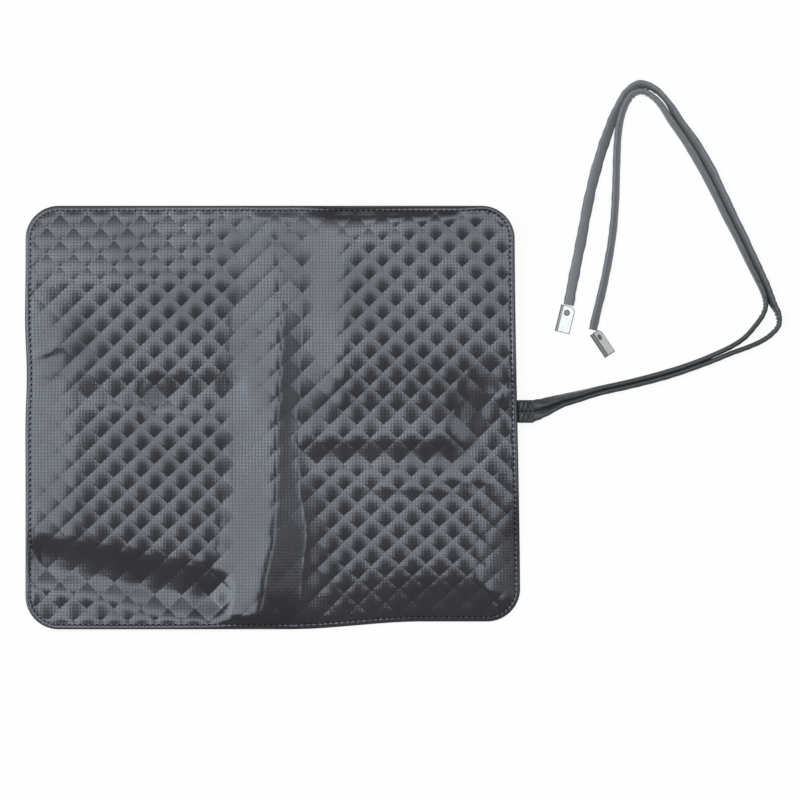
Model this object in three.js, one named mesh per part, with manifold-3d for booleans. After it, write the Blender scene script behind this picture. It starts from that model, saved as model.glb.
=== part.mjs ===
// Makeup brush bag: a padded sheet that opens flat, embossed with diamonds outside, with brush pockets and
// two cover flaps inside and two tie straps on its right edge. It lies open with its outside up.
// Millimetres, +Z up. The origin is on the surface, under the middle of the opened bag.
// +X runs to the edge that carries the straps and +Y to the edge that carries the flaps.
import * as THREE from "three";
import { mergeVertices } from "three/addons/utils/BufferGeometryUtils.js";
import Module from "manifold-3d";

const wasm = await Module();
wasm.setup();

// The opened bag
const bagWidth = 281;
const bagLength = 242;
const cornerRadius = 19;
const foldGap = 0.4;
const layerGap = 0.3;
const cornerSteps = 8;
const overrun = 2;

// The sheets, from the surface up
const pocketSheet = 0.8;
const pocketRoom = 4.9;
const liningThickness = 0.6;
const foamThickness = 1.5;
const foamInset = 10;
const coverThickness = 0.9;

// The turned edge of the cover and its row of stitches
const turnedEdgeThickness = 0.9;
const rimWidth = 4;
const stitchInset = 2.8;
const stitchGrooveWidth = 0.9;
const stitchGrooveDepth = 0.3;

// The embossed diamonds: their diagonals, their height and one corner that the lattice passes through
const diamondWidth = 15.4;
const diamondLength = 15;
const diamondRise = 0.65;
const seamRise = 0.06;
const latticeCornerX = 41;
const latticeCornerY = -71.6;

// The brush pockets of one half, from the fold outwards
const pocketWidthShares = [0.25, 0.22, 0.2, 0.18, 0.15];
const pocketBandStart = 5.5;
const pocketMouthY = 5;
const pocketSeam = 1.4;
const pocketSlope = 3.2;
const pocketFootSeam = 6;
const pocketFootTaper = 10;
const pocketEdgeInset = 2;
const mouthHemLength = 7;
const mouthHemRise = 0.4;

// The flaps over the brush heads
const flapSheet = 0.5;
const flapFreeEdgeY = 12;
const flapSideInset = 6;
const flapFoldInset = 3;
const flapCornerRadius = 9;
const flapHemLength = 6;
const flapHemRise = 0.3;
const flapHingeInset = 2.8;
const flapSeamSheet = 0.8;
const flapSeamReach = 9;

// The tie straps, standing on edge
const strapWidth = 6;
const strapThickness = 2.1;
const strapSteps = 46;
const strapRootWidth = 6;
const strapRootThickness = 3.2;
const strapRootLength = 6.4;
const strapRootRidges = 4;
const strapRootRidgeRise = 0.3;
const strapTongueLength = 9;
const strapTongueThickness = 1.2;

// The folded metal tags on the strap ends
const tagWidth = 8.6;
const tagLength = 15.6;
const tagThickness = 2.6;
const tagPlate = 0.6;
const tagLip = 2.4;
const tagCornerCut = 2.2;
const tagFoldSteps = 6;
const rivetInset = 4;
const rivetHeadRadius = 1.65;
const rivetShankRadius = 1;
const rivetHeadRise = 0.35;
const rivetSegments = 20;
const restClearance = 0.05;

// Levels that follow from the sheets
const liningBottom = pocketSheet + pocketRoom + layerGap;
const liningTop = liningBottom + liningThickness;
const foamBottom = liningTop + layerGap;
const foamTop = foamBottom + foamThickness;
const coverBottom = foamTop + layerGap;
const coverTop = coverBottom + coverThickness;
const turnedEdgeBottom = liningBottom;

// Where the straps run, from the bag to the tag, on the strap's middle line
const innerStrapRoute = [
  [148.2, 6.6, 6.2], [155, 8.2, 5.2], [165, 11.1, 3.9], [176, 13.6, 3.3], [187.6, 16.7, 3.1],
  [201.3, 19.7, 3.1], [215, 23.1, 3.1], [228.7, 27, 3.1], [242.4, 31.6, 3.1], [253.8, 36.3, 3.1],
  [263, 40.7, 3.1], [270.4, 45.7, 3.1], [276.1, 52, 3.1], [280.7, 58.5, 3.1], [282.4, 64.5, 3.1],
  [280.9, 71.7, 3.1], [277.2, 79.7, 3.1], [273.2, 87.6, 3.1], [266.5, 101.4, 3.1], [259.4, 115.1, 3.1],
  [252.7, 128.8, 3.1], [245.5, 142.5, 3.1], [237.5, 156.2, 3.1], [228.1, 169.9, 3.1], [221.8, 179.3, 3.1],
  [216.1, 184.4, 3.1], [211, 186.3, 3.1], [205.8, 184.2, 3.1], [201.8, 177.9, 3.1], [199.3, 169.9, 3.1],
  [197.9, 160.7, 3.1], [197.2, 147, 3.1], [196.7, 129.9, 3.1], [195.9, 115.1, 3.1], [194.4, 101.4, 3.1],
  [192.1, 87.6, 3.1], [189.3, 73.9, 3.1], [186.1, 60.8, 3.1], [183.6, 50, 3.1],
];
const outerStrapRoute = [
  [148.4, 0.3, 6.2], [155, 2.6, 5.2], [165, 7.2, 3.9], [176, 10.7, 3.3], [187.6, 13.9, 3.1],
  [201.3, 16.9, 3.1], [215, 20.2, 3.1], [228.7, 24, 3.1], [242.4, 28.7, 3.1], [253.8, 33, 3.1],
  [263, 36.8, 3.1], [272.1, 40.1, 3.1], [280.1, 43.7, 3.1], [285.8, 47.7, 3.1], [289.8, 52.8, 3.1],
  [289.5, 59.1, 3.1], [286.3, 65.4, 3.1], [283.8, 72.2, 3.1], [280.6, 79.7, 3.1], [276.9, 87.6, 3.1],
  [270.4, 101.4, 3.1], [263.7, 115.1, 3.1], [257.2, 128.8, 3.1], [250.7, 142.5, 3.1], [242.7, 156.2, 3.1],
  [233, 169.9, 3.1], [226.1, 180.7, 3.1], [219, 187.6, 3.1], [211, 190.3, 3.1], [204.1, 186.4, 3.1],
  [198.7, 177.9, 3.1], [194.7, 169.3, 3.1], [190.7, 158.5, 3.1], [187, 147, 3.1], [183.3, 133.3, 3.1],
  [180.1, 118.5, 3.1], [177.3, 103.1, 3.1], [174.2, 87.6, 3.1], [171.6, 74.5, 3.1], [169.8, 64.2, 3.1],
];

// How the tags lie: the heading of the long side, the roll about it and the distance from the strap's end
const flatTag = { heading: -1.81, roll: 0, standOff: 0.5 };
const tiltedTag = { heading: -0.98, roll: -0.87, standOff: 1.6 };

const finishes = {
  cover: { color: 0x5b5f66, roughness: 0.62, metalness: 0 },
  lining: { color: 0x2e2f33, roughness: 0.9, metalness: 0 },
  foam: { color: 0x8d8f92, roughness: 1, metalness: 0 },
  pocket: { color: 0x3a3c40, roughness: 0.7, metalness: 0 },
  strap: { color: 0x4a4d50, roughness: 0.55, metalness: 0 },
  metal: { color: 0xd5d6d2, roughness: 0.25, metalness: 1 },
};

/** Gives a named mesh with a finish of its own. */
function namedMesh(name, geometry, finish) {
  const mesh = new THREE.Mesh(geometry, new THREE.MeshStandardMaterial(finish));
  mesh.name = name;
  return mesh;
}

/** Turns a closed geometry into a solid that can be cut and joined. */
function solidOf(geometry) {
  const bare = new THREE.BufferGeometry();
  bare.setAttribute("position", geometry.getAttribute("position"));
  if (geometry.index) bare.setIndex(geometry.index);
  const merged = mergeVertices(bare);
  return new wasm.Manifold(new wasm.Mesh({
    numProp: 3,
    vertProperties: new Float32Array(merged.getAttribute("position").array),
    triVerts: new Uint32Array(merged.index.array),
  }));
}

/** Turns a cut solid back into a geometry. */
function geometryOf(solid) {
  const mesh = solid.getMesh();
  const geometry = new THREE.BufferGeometry();
  geometry.setAttribute("position", new THREE.BufferAttribute(new Float32Array(mesh.vertProperties), 3));
  geometry.setIndex(new THREE.BufferAttribute(new Uint32Array(mesh.triVerts), 1));
  return geometry;
}

/** A flat outline raised from one level to another. */
function prism(shape, bottom, top) {
  const geometry = new THREE.ExtrudeGeometry(shape, { depth: top - bottom, bevelEnabled: false });
  return geometry.translate(0, 0, bottom);
}

/** A box between two corners. */
function block(low, high) {
  const size = high.map((value, axis) => value - low[axis]);
  const middle = high.map((value, axis) => (value + low[axis]) / 2);
  return new THREE.BoxGeometry(...size).translate(...middle);
}

/** The points of a quarter circle, counted from a starting angle. */
function quarterArc(centreX, centreY, radius, startAngle) {
  const points = [];
  for (let step = 0; step <= cornerSteps; step += 1) {
    const angle = startAngle + (Math.PI / 2) * (step / cornerSteps);
    points.push([centreX + radius * Math.cos(angle), centreY + radius * Math.sin(angle)]);
  }
  return points;
}

/** A closed outline of the given points, mirrored in X for the left half. */
function halfShape(side, points) {
  return new THREE.Shape(points.map(([x, y]) => new THREE.Vector2(side * x, y)));
}

/** The outline of one half of the bag, drawn in from its three outer edges, square at the fold. */
function leafOutline(side, inset, foldEdge = foldGap / 2) {
  const outer = bagWidth / 2 - inset;
  const end = bagLength / 2 - inset;
  const radius = cornerRadius - inset;
  return halfShape(side, [
    [foldEdge, -end],
    ...quarterArc(outer - radius, radius - end, radius, -Math.PI / 2),
    ...quarterArc(outer - radius, end - radius, radius, 0),
    [foldEdge, end],
  ]);
}

/** A closed slab under a list of triangles: the triangles on top, a flat bottom and walls round the rim. */
function slabUnder(topPoints, triangles, bottom) {
  const count = topPoints.length;
  const positions = [...topPoints.flat(), ...topPoints.flatMap(([x, y]) => [x, y, bottom])];
  const edges = new Set(triangles.flatMap(([a, b, c]) => [`${a},${b}`, `${b},${c}`, `${c},${a}`]));
  const faces = triangles.flatMap(([a, b, c]) => [a, b, c, c + count, b + count, a + count]);
  for (const edge of edges) {
    const [a, b] = edge.split(",").map(Number);
    if (!edges.has(`${b},${a}`)) faces.push(a, a + count, b + count, a, b + count, b);
  }
  const geometry = new THREE.BufferGeometry();
  geometry.setAttribute("position", new THREE.Float32BufferAttribute(positions, 3));
  geometry.setIndex(faces);
  return geometry;
}

/** The lattice of raised diamonds over one half: low along the crossing lines, high in each middle. */
function diamondField(side) {
  const stepX = diamondWidth / 2;
  const stepY = diamondLength / 2;
  const spanX = [Math.min(0, side * bagWidth / 2), Math.max(0, side * bagWidth / 2)];
  const first = [Math.floor((spanX[0] - latticeCornerX) / stepX) - 2,
    Math.floor((-bagLength / 2 - latticeCornerY) / stepY) - 2];
  const last = [Math.ceil((spanX[1] - latticeCornerX) / stepX) + 2,
    Math.ceil((bagLength / 2 - latticeCornerY) / stepY) + 2];
  const points = [];
  const numbers = new Map();
  const number = (column, row, high) => {
    const key = `${column},${row}`;
    if (!numbers.has(key)) {
      numbers.set(key, points.length);
      const level = coverTop + seamRise + (high ? diamondRise : 0);
      points.push([latticeCornerX + column * stepX, latticeCornerY + row * stepY, level]);
    }
    return numbers.get(key);
  };
  const triangles = [];
  for (let column = first[0]; column <= last[0]; column += 1) {
    for (let row = first[1]; row <= last[1]; row += 1) {
      if ((column + row) % 2 === 0) continue;
      const middle = number(column, row, true);
      const around = [[1, 0], [0, 1], [-1, 0], [0, -1]].map(([x, y]) => number(column + x, row + y, false));
      around.forEach((corner, index) => triangles.push([middle, corner, around[(index + 1) % around.length]]));
    }
  }
  return slabUnder(points, triangles, coverBottom - overrun);
}

/** The shallow channel that the row of stitches lies in. */
function stitchGroove(side) {
  const outside = leafOutline(side, stitchInset - stitchGrooveWidth / 2, -overrun);
  const inside = leafOutline(side, stitchInset + stitchGrooveWidth / 2, -overrun);
  const floor = coverTop - stitchGrooveDepth;
  const ring = solidOf(prism(outside, floor, coverTop + overrun));
  return ring.subtract(solidOf(prism(inside, floor - overrun, coverTop + overrun + overrun)));
}

/** The middle of a strap's root along the edge, from the strap's first point. */
function rootMiddle(route) {
  return route[0][1];
}

/** The notch in the turned edge that lets the two strap tongues through. */
function strapNotch() {
  const outer = bagWidth / 2;
  const low = rootMiddle(outerStrapRoute) - strapRootWidth / 2 - layerGap;
  const high = rootMiddle(innerStrapRoute) + strapRootWidth / 2 + layerGap;
  const top = foamBottom + strapTongueThickness + layerGap;
  return solidOf(block(
    [outer - turnedEdgeThickness - overrun, low, turnedEdgeBottom - overrun],
    [outer + overrun, high, top],
  ));
}

/** One half of the outer cover: a turned edge, a flat stitched rim and the field of diamonds. */
function outerCover(side, name) {
  const plate = solidOf(prism(leafOutline(side, 0), turnedEdgeBottom, coverTop));
  const hollow = solidOf(prism(
    leafOutline(side, turnedEdgeThickness, -overrun), turnedEdgeBottom - overrun, coverBottom));
  const face = solidOf(prism(
    leafOutline(side, rimWidth), coverBottom + coverThickness / 2, coverTop + diamondRise + overrun));
  const diamonds = solidOf(diamondField(side)).intersect(face);
  let cover = plate.subtract(hollow).subtract(stitchGroove(side)).add(diamonds);
  if (side > 0) cover = cover.subtract(strapNotch());
  return namedMesh(name, geometryOf(cover), finishes.cover);
}

/** One half of the foam that pads the bag, short of the stitched rim. */
function foamPadding(side, name) {
  return namedMesh(name, prism(leafOutline(side, foamInset), foamBottom, foamTop), finishes.foam);
}

/** One half of the lining, which fits inside the turned edge. */
function lining(side, name) {
  const inset = turnedEdgeThickness + layerGap;
  return namedMesh(name, prism(leafOutline(side, inset), liningBottom, liningTop), finishes.lining);
}

/** A sheet with a thickness over a grid, its underside and its top side given at each crossing. */
function gridSheet(xs, ys, levels) {
  const positions = [];
  for (const side of ["low", "high"]) {
    ys.forEach((y, row) => xs.forEach((x, column) => positions.push(x, y, levels(column, row)[side])));
  }
  const columns = xs.length;
  const layer = columns * ys.length;
  const at = (column, row) => row * columns + column;
  const faces = [];
  const quad = (a, b, c, d) => faces.push(a, b, c, a, c, d);
  for (let row = 0; row + 1 < ys.length; row += 1) {
    for (let column = 0; column + 1 < columns; column += 1) {
      const ring = [at(column, row), at(column + 1, row), at(column + 1, row + 1), at(column, row + 1)];
      quad(...ring.map((corner) => corner + layer));
      quad(...[...ring].reverse());
    }
    const [left, nextLeft] = [at(0, row), at(0, row + 1)];
    const [right, nextRight] = [at(columns - 1, row), at(columns - 1, row + 1)];
    quad(left, left + layer, nextLeft + layer, nextLeft);
    quad(right, nextRight, nextRight + layer, right + layer);
  }
  const lastRow = ys.length - 1;
  for (let column = 0; column + 1 < columns; column += 1) {
    const [near, nextNear] = [at(column, 0), at(column + 1, 0)];
    const [far, nextFar] = [at(column, lastRow), at(column + 1, lastRow)];
    quad(near, nextNear, nextNear + layer, near + layer);
    quad(far, far + layer, nextFar + layer, nextFar);
  }
  const geometry = new THREE.BufferGeometry();
  geometry.setAttribute("position", new THREE.Float32BufferAttribute(positions, 3));
  geometry.setIndex(faces);
  return geometry;
}

/** One brush pocket: sewn down along both sides and its foot, bulging towards the surface, open at its mouth. */
function brushPocket(side, name, startX, endX) {
  const seamLevel = pocketRoom;
  const across = [startX, startX + pocketSeam, startX + pocketSeam + pocketSlope,
    endX - pocketSeam - pocketSlope, endX - pocketSeam, endX];
  const bulges = [0, 0, 1, 1, 0, 0];
  const foot = pocketEdgeInset - bagLength / 2 + turnedEdgeThickness;
  const hem = pocketMouthY - mouthHemLength;
  const along = [foot, foot + pocketFootSeam, foot + pocketFootSeam + pocketFootTaper, hem,
    hem + mouthHemRise, pocketMouthY];
  const opens = [0, 0, 1, 1, 1, 1];
  const rises = [0, 0, 0, 0, mouthHemRise, mouthHemRise];
  const order = side > 0 ? [0, 1, 2, 3, 4, 5] : [5, 4, 3, 2, 1, 0];
  const levels = (column, row) => {
    const bulge = bulges[order[column]] * opens[row];
    const low = seamLevel * (1 - bulge);
    return { low, high: low + pocketSheet + rises[row] * bulge };
  };
  const geometry = gridSheet(order.map((column) => side * across[column]), along, levels);
  return namedMesh(name, geometry, finishes.pocket);
}

/** Where the row of pockets ends, so that its foot stays inside the round corner of the turned edge. */
function pocketBandEnd() {
  const radius = cornerRadius - turnedEdgeThickness - layerGap;
  const drop = Math.max(cornerRadius - turnedEdgeThickness - pocketEdgeInset, 0);
  return bagWidth / 2 - cornerRadius + Math.sqrt(Math.max(radius ** 2 - drop ** 2, 0));
}

/** The row of pockets of one half, each narrower than the one before it. */
function brushPockets(side, sideName) {
  const room = pocketBandEnd() - pocketBandStart - layerGap * (pocketWidthShares.length - 1);
  let start = pocketBandStart;
  return pocketWidthShares.map((share, index) => {
    const end = start + room * share;
    const pocket = brushPocket(side, `brush_pocket_${sideName}_${index + 1}`, start, end);
    start = end + layerGap;
    return pocket;
  });
}

/** The line that the flaps turn about, halfway up their hem. */
const flapHingeY = bagLength / 2 - flapHingeInset;

/** How thick a flap is at its hem. */
const flapHemThickness = flapSheet + flapHemRise;

/** The outline of one flap from its hinge to a given edge, round at the two free corners. */
function flapOutline(side, endY) {
  const inner = flapFoldInset;
  const outer = bagWidth / 2 - flapSideInset;
  const top = flapHingeY + flapSheet / 2;
  const low = flapFreeEdgeY;
  const radius = flapCornerRadius;
  if (endY < top) {
    return halfShape(side, [
      ...quarterArc(inner + radius, low + radius, radius, Math.PI).filter(([, y]) => y <= endY),
      ...quarterArc(outer - radius, low + radius, radius, -Math.PI / 2).filter(([, y]) => y <= endY),
    ]);
  }
  return halfShape(side, [
    [inner, top],
    ...quarterArc(inner + radius, low + radius, radius, Math.PI),
    ...quarterArc(outer - radius, low + radius, radius, -Math.PI / 2),
    [outer, top - (cornerRadius - flapSideInset)],
    [bagWidth / 2 - cornerRadius, top],
  ]);
}

/** One flap: a soft sheet with a thicker hem along its free edge. */
function brushFlap(side, name) {
  const top = flapHingeY + flapSheet / 2;
  const sheet = solidOf(prism(flapOutline(side, top), 0, flapSheet));
  const hem = solidOf(prism(flapOutline(side, flapFreeEdgeY + flapHemLength), flapSheet / 2, flapHemThickness));
  return namedMesh(name, geometryOf(sheet.add(hem)), finishes.lining);
}

/** The strip that carries a flap: sewn under the lining, then down to the flap's hinge line. */
function flapSeamStrip(side, name) {
  const back = flapHingeY + flapSeamSheet / 2;
  const profile = new THREE.Shape([
    new THREE.Vector2(back - flapSeamReach, liningBottom - layerGap - flapSeamSheet),
    new THREE.Vector2(back - flapSeamSheet, liningBottom - layerGap - flapSeamSheet),
    new THREE.Vector2(back - flapSeamSheet, flapHemThickness + layerGap),
    new THREE.Vector2(back, flapHemThickness + layerGap),
    new THREE.Vector2(back, liningBottom - layerGap),
    new THREE.Vector2(back - flapSeamReach, liningBottom - layerGap),
  ]);
  const inner = flapFoldInset;
  const outer = bagWidth / 2 - cornerRadius;
  const geometry = new THREE.ExtrudeGeometry(profile, { depth: outer - inner, bevelEnabled: false });
  geometry.rotateX(Math.PI / 2);
  geometry.rotateZ(Math.PI / 2);
  geometry.translate(side > 0 ? inner : -outer, 0, 0);
  return namedMesh(name, geometry, finishes.lining);
}

/** A strap's root: a flat tongue sewn inside the rim and a crimped sleeve outside it. */
function strapRoot(name, route) {
  const edge = bagWidth / 2;
  const tongueTop = foamBottom + strapTongueThickness;
  const sleeveStart = edge + layerGap;
  const sleeveEnd = sleeveStart + strapRootLength;
  const points = [
    [edge - strapTongueLength, foamBottom],
    [sleeveStart, foamBottom],
    [sleeveStart, tongueTop - strapRootThickness],
    [sleeveEnd, tongueTop - strapRootThickness],
  ];
  const ridge = strapRootLength / strapRootRidges;
  for (let index = 0; index < strapRootRidges; index += 1) {
    const start = sleeveEnd - index * ridge;
    points.push([start, tongueTop]);
    points.push([start - ridge / 2, tongueTop + strapRootRidgeRise]);
  }
  points.push([sleeveStart, tongueTop]);
  points.push([edge - strapTongueLength, tongueTop]);
  const profile = new THREE.Shape(points.map(([x, z]) => new THREE.Vector2(x, z)));
  const geometry = new THREE.ExtrudeGeometry(profile, { depth: strapRootWidth, bevelEnabled: false });
  geometry.rotateX(Math.PI / 2);
  geometry.translate(0, rootMiddle(route) + strapRootWidth / 2, 0);
  return namedMesh(name, geometry, finishes.strap);
}

/** A strap along its route: a flat oval section of eight sides that stands on edge. */
function tieStrap(name, route) {
  const section = new THREE.Shape();
  const corner = Math.SQRT1_2;
  const half = [strapWidth / 2, strapThickness / 2];
  const unit = [[1, 1 - corner], [1 - corner, 1], [corner - 1, 1], [-1, 1 - corner],
    [-1, corner - 1], [corner - 1, -1], [1 - corner, -1], [1, corner - 1]];
  section.setFromPoints(unit.map(([x, y]) => new THREE.Vector2(x * half[0], y * half[1])));
  const path = new THREE.CatmullRomCurve3(route.map((point) => new THREE.Vector3(...point)));
  const geometry = new THREE.ExtrudeGeometry(section, { steps: strapSteps, extrudePath: path });
  return namedMesh(name, geometry, finishes.strap);
}

/** The cross-section of a tag: one plate folded over at one side, its two leaves left a little apart. */
function tagProfile() {
  const halfWidth = tagWidth / 2;
  const halfThickness = tagThickness / 2;
  const innerRadius = halfThickness - tagPlate;
  const fold = (radius, from, to) => Array.from({ length: tagFoldSteps + 1 }, (_, step) => {
    const angle = from + (to - from) * (step / tagFoldSteps);
    return [halfThickness - halfWidth + radius * Math.cos(angle), radius * Math.sin(angle)];
  });
  return new THREE.Shape([
    [halfWidth, halfThickness - tagPlate],
    [halfWidth, halfThickness],
    ...fold(halfThickness, Math.PI / 2, Math.PI + Math.PI / 2),
    [halfWidth - tagLip, -halfThickness],
    [halfWidth - tagLip, tagPlate - halfThickness],
    ...fold(innerRadius, Math.PI + Math.PI / 2, Math.PI / 2),
  ].map(([x, y]) => new THREE.Vector2(x, y)));
}

/** A tag with its long side along +X, its mouth at the origin and its open side towards +Y. */
function tagSolid() {
  const bar = new THREE.ExtrudeGeometry(tagProfile(), { depth: tagLength, bevelEnabled: false });
  bar.rotateY(Math.PI / 2);
  bar.rotateX(Math.PI / 2);
  const hole = new THREE.CylinderGeometry(rivetShankRadius + layerGap, rivetShankRadius + layerGap,
    tagThickness + overrun, rivetSegments);
  hole.rotateX(Math.PI / 2);
  hole.translate(rivetInset, 0, 0);
  const cut = new THREE.Shape([
    new THREE.Vector2(-overrun, tagWidth / 2 - tagCornerCut - overrun),
    new THREE.Vector2(tagCornerCut + overrun, tagWidth / 2 + overrun),
    new THREE.Vector2(-overrun, tagWidth / 2 + overrun),
  ]);
  return solidOf(bar).subtract(solidOf(hole)).subtract(solidOf(prism(cut, -tagThickness, tagThickness)));
}

/** The rivet through a tag: a shank with a low head on either side. */
function rivetGeometry() {
  const seat = tagThickness / 2 + restClearance;
  const top = seat + rivetHeadRise;
  const profile = [
    [0, -top], [rivetHeadRadius - rivetHeadRise, -top], [rivetHeadRadius, -seat], [rivetShankRadius, -seat],
    [rivetShankRadius, seat], [rivetHeadRadius, seat], [rivetHeadRadius - rivetHeadRise, top], [0, top],
  ];
  const rivet = new THREE.LatheGeometry(profile.map(([x, y]) => new THREE.Vector2(x, y)), rivetSegments);
  rivet.rotateX(Math.PI / 2);
  return rivet.translate(rivetInset, 0, 0);
}

/** A tag and its rivet at a strap's end, lowest corner just clear of the surface. */
function strapTag(name, rivetName, route, lie) {
  const [endX, endY] = route[route.length - 1];
  const tag = namedMesh(name, geometryOf(tagSolid()), finishes.metal);
  const rivet = namedMesh(rivetName, rivetGeometry(), finishes.metal);
  const group = new THREE.Group();
  group.add(tag, rivet);
  const tilt = Math.abs(lie.roll);
  const headRise = rivetHeadRise + restClearance;
  const height = Math.max(
    (tagWidth / 2) * Math.sin(tilt) + (tagThickness / 2) * Math.cos(tilt),
    rivetHeadRadius * Math.sin(tilt) + (tagThickness / 2 + headRise) * Math.cos(tilt),
  );
  group.position.set(endX + lie.standOff * Math.cos(lie.heading), endY + lie.standOff * Math.sin(lie.heading),
    height + restClearance);
  group.rotation.set(lie.roll, 0, lie.heading, "ZYX");
  return group;
}

/** Everything that one half of the bag is made of. */
function leaf(side, sideName) {
  const group = new THREE.Group();
  group.add(
    outerCover(side, `outer_cover_${sideName}`),
    foamPadding(side, `foam_padding_${sideName}`),
    lining(side, `lining_${sideName}`),
    ...brushPockets(side, sideName),
    flapSeamStrip(side, `flap_seam_strip_${sideName}`),
    brushFlap(side, `brush_flap_${sideName}`),
  );
  return group;
}

const brushBag = new THREE.Group();
brushBag.add(
  leaf(-1, "left"),
  leaf(1, "right"),
  strapRoot("strap_root_inner", innerStrapRoute),
  strapRoot("strap_root_outer", outerStrapRoute),
  tieStrap("tie_strap_inner", innerStrapRoute),
  tieStrap("tie_strap_outer", outerStrapRoute),
  strapTag("strap_tag_outer", "tag_rivet_outer", outerStrapRoute, flatTag),
  strapTag("strap_tag_inner", "tag_rivet_inner", innerStrapRoute, tiltedTag),
);

export default brushBag;
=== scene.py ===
"""The looks of the makeup brush bag: its embossed cover, sewn rim, soft inside, tie straps and metal tags."""
import logging
import math
from dataclasses import dataclass, field
from enum import Enum
from typing import Callable

import bmesh
import bpy
from mathutils import Matrix, Vector


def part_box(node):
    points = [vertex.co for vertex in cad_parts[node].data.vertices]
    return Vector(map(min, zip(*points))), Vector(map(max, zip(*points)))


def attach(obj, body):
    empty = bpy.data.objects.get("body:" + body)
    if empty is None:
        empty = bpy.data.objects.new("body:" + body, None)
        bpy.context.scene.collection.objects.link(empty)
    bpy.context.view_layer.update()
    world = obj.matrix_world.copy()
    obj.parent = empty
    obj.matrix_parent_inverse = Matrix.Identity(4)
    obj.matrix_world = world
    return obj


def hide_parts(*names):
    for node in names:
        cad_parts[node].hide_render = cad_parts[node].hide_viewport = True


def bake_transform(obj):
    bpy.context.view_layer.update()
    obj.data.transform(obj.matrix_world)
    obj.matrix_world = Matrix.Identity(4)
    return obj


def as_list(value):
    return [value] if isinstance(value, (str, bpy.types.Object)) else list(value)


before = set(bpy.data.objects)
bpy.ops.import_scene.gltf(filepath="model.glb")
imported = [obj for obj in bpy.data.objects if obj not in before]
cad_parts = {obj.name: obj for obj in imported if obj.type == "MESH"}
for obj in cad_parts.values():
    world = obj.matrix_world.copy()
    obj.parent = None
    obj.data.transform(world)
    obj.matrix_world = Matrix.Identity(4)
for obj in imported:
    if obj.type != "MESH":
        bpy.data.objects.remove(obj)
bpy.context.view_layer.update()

log = logging.getLogger("brush_bag")

MM = 0.001

Place = tuple[float, float, float]
Spot = tuple[float, float]
Color = tuple[float, float, float]
Mapping = Callable[[float, float], Place]

# The length of one band of Blender's wave texture at a scale of 1
WAVE_BAND = 0.31416
# The specular level at which a surface mirrors just what its index of refraction gives
PLAIN_SPECULAR = 0.5
# Vertices nearer than this are sewn together, in metres, for a grid that meets itself and for a solid
GRID_GAP = 1e-7
SOLID_GAP = 1e-6
# Vertices of a flat sheet that are nearer than this to a cut lie on it, in millimetres
CUT_GAP = 1e-5


def smooth(value: float) -> float:
    """Eases a value from 0 to 1, held at both ends."""
    held = min(max(value, 0.0), 1.0)
    return held * held * (3.0 - 2.0 * held)


def blend_values(low: float, high: float, share: float) -> float:
    """The value at a share of the way from low to high."""
    return low + (high - low) * share


def fuller(wave: float, power: float) -> float:
    """A sine or cosine with its size raised to a power, which squares a round section off."""
    return math.copysign(abs(wave) ** power, wave)


def toned(color: Color, share: float) -> Color:
    """A colour made lighter or darker by a factor."""
    return tuple(part * share for part in color)


@dataclass(frozen=True)
class Ramp:
    """A smooth rise from 0 to 1 along one direction: where it starts, and its run, which may lead back."""

    start: float
    run: float

    def at(self, place: float) -> float:
        """The share of the rise that is reached at a place."""
        return smooth((place - self.start) / self.run)


class Side(Enum):
    """The two halves of the opened bag, as the sign of X on each."""

    LEFT = -1
    RIGHT = 1

    @property
    def word(self) -> str:
        """The half's name as the nodes spell it."""
        return self.name.lower()

    @property
    def leaf(self) -> str:
        """The body that the half's own pieces ride on."""
        return f"{self.word}_leaf"

    @property
    def flap(self) -> str:
        """The body of the half's cover flap."""
        return f"{self.word}_flap"


# The height of a strap's middle line where it lies level, in metres
STRAP_LEVEL = 0.0031
# Where the straps run, from the bag to the tag, in metres
INNER_ROUTE: list[Place] = [
    (0.1482, 0.0066, 0.0062), (0.155, 0.0082, 0.0052), (0.165, 0.0111, 0.0039), (0.176, 0.0136, 0.0033),
    *((x, y, STRAP_LEVEL) for x, y in (
        (0.1876, 0.0167), (0.2013, 0.0197), (0.215, 0.0231), (0.2287, 0.027), (0.2424, 0.0316),
        (0.2538, 0.0363), (0.263, 0.0407), (0.2704, 0.0457), (0.2761, 0.052), (0.2807, 0.0585),
        (0.2824, 0.0645), (0.2809, 0.0717), (0.2772, 0.0797), (0.2732, 0.0876), (0.2665, 0.1014),
        (0.2594, 0.1151), (0.2527, 0.1288), (0.2455, 0.1425), (0.2375, 0.1562), (0.2281, 0.1699),
        (0.2218, 0.1793), (0.2161, 0.1844), (0.211, 0.1863), (0.2058, 0.1842), (0.2018, 0.1779),
        (0.1993, 0.1699), (0.1979, 0.1607), (0.1972, 0.147), (0.1967, 0.1299), (0.1959, 0.1151),
        (0.1944, 0.1014), (0.1921, 0.0876), (0.1893, 0.0739), (0.1861, 0.0608), (0.1836, 0.05),
    )),
]
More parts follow.
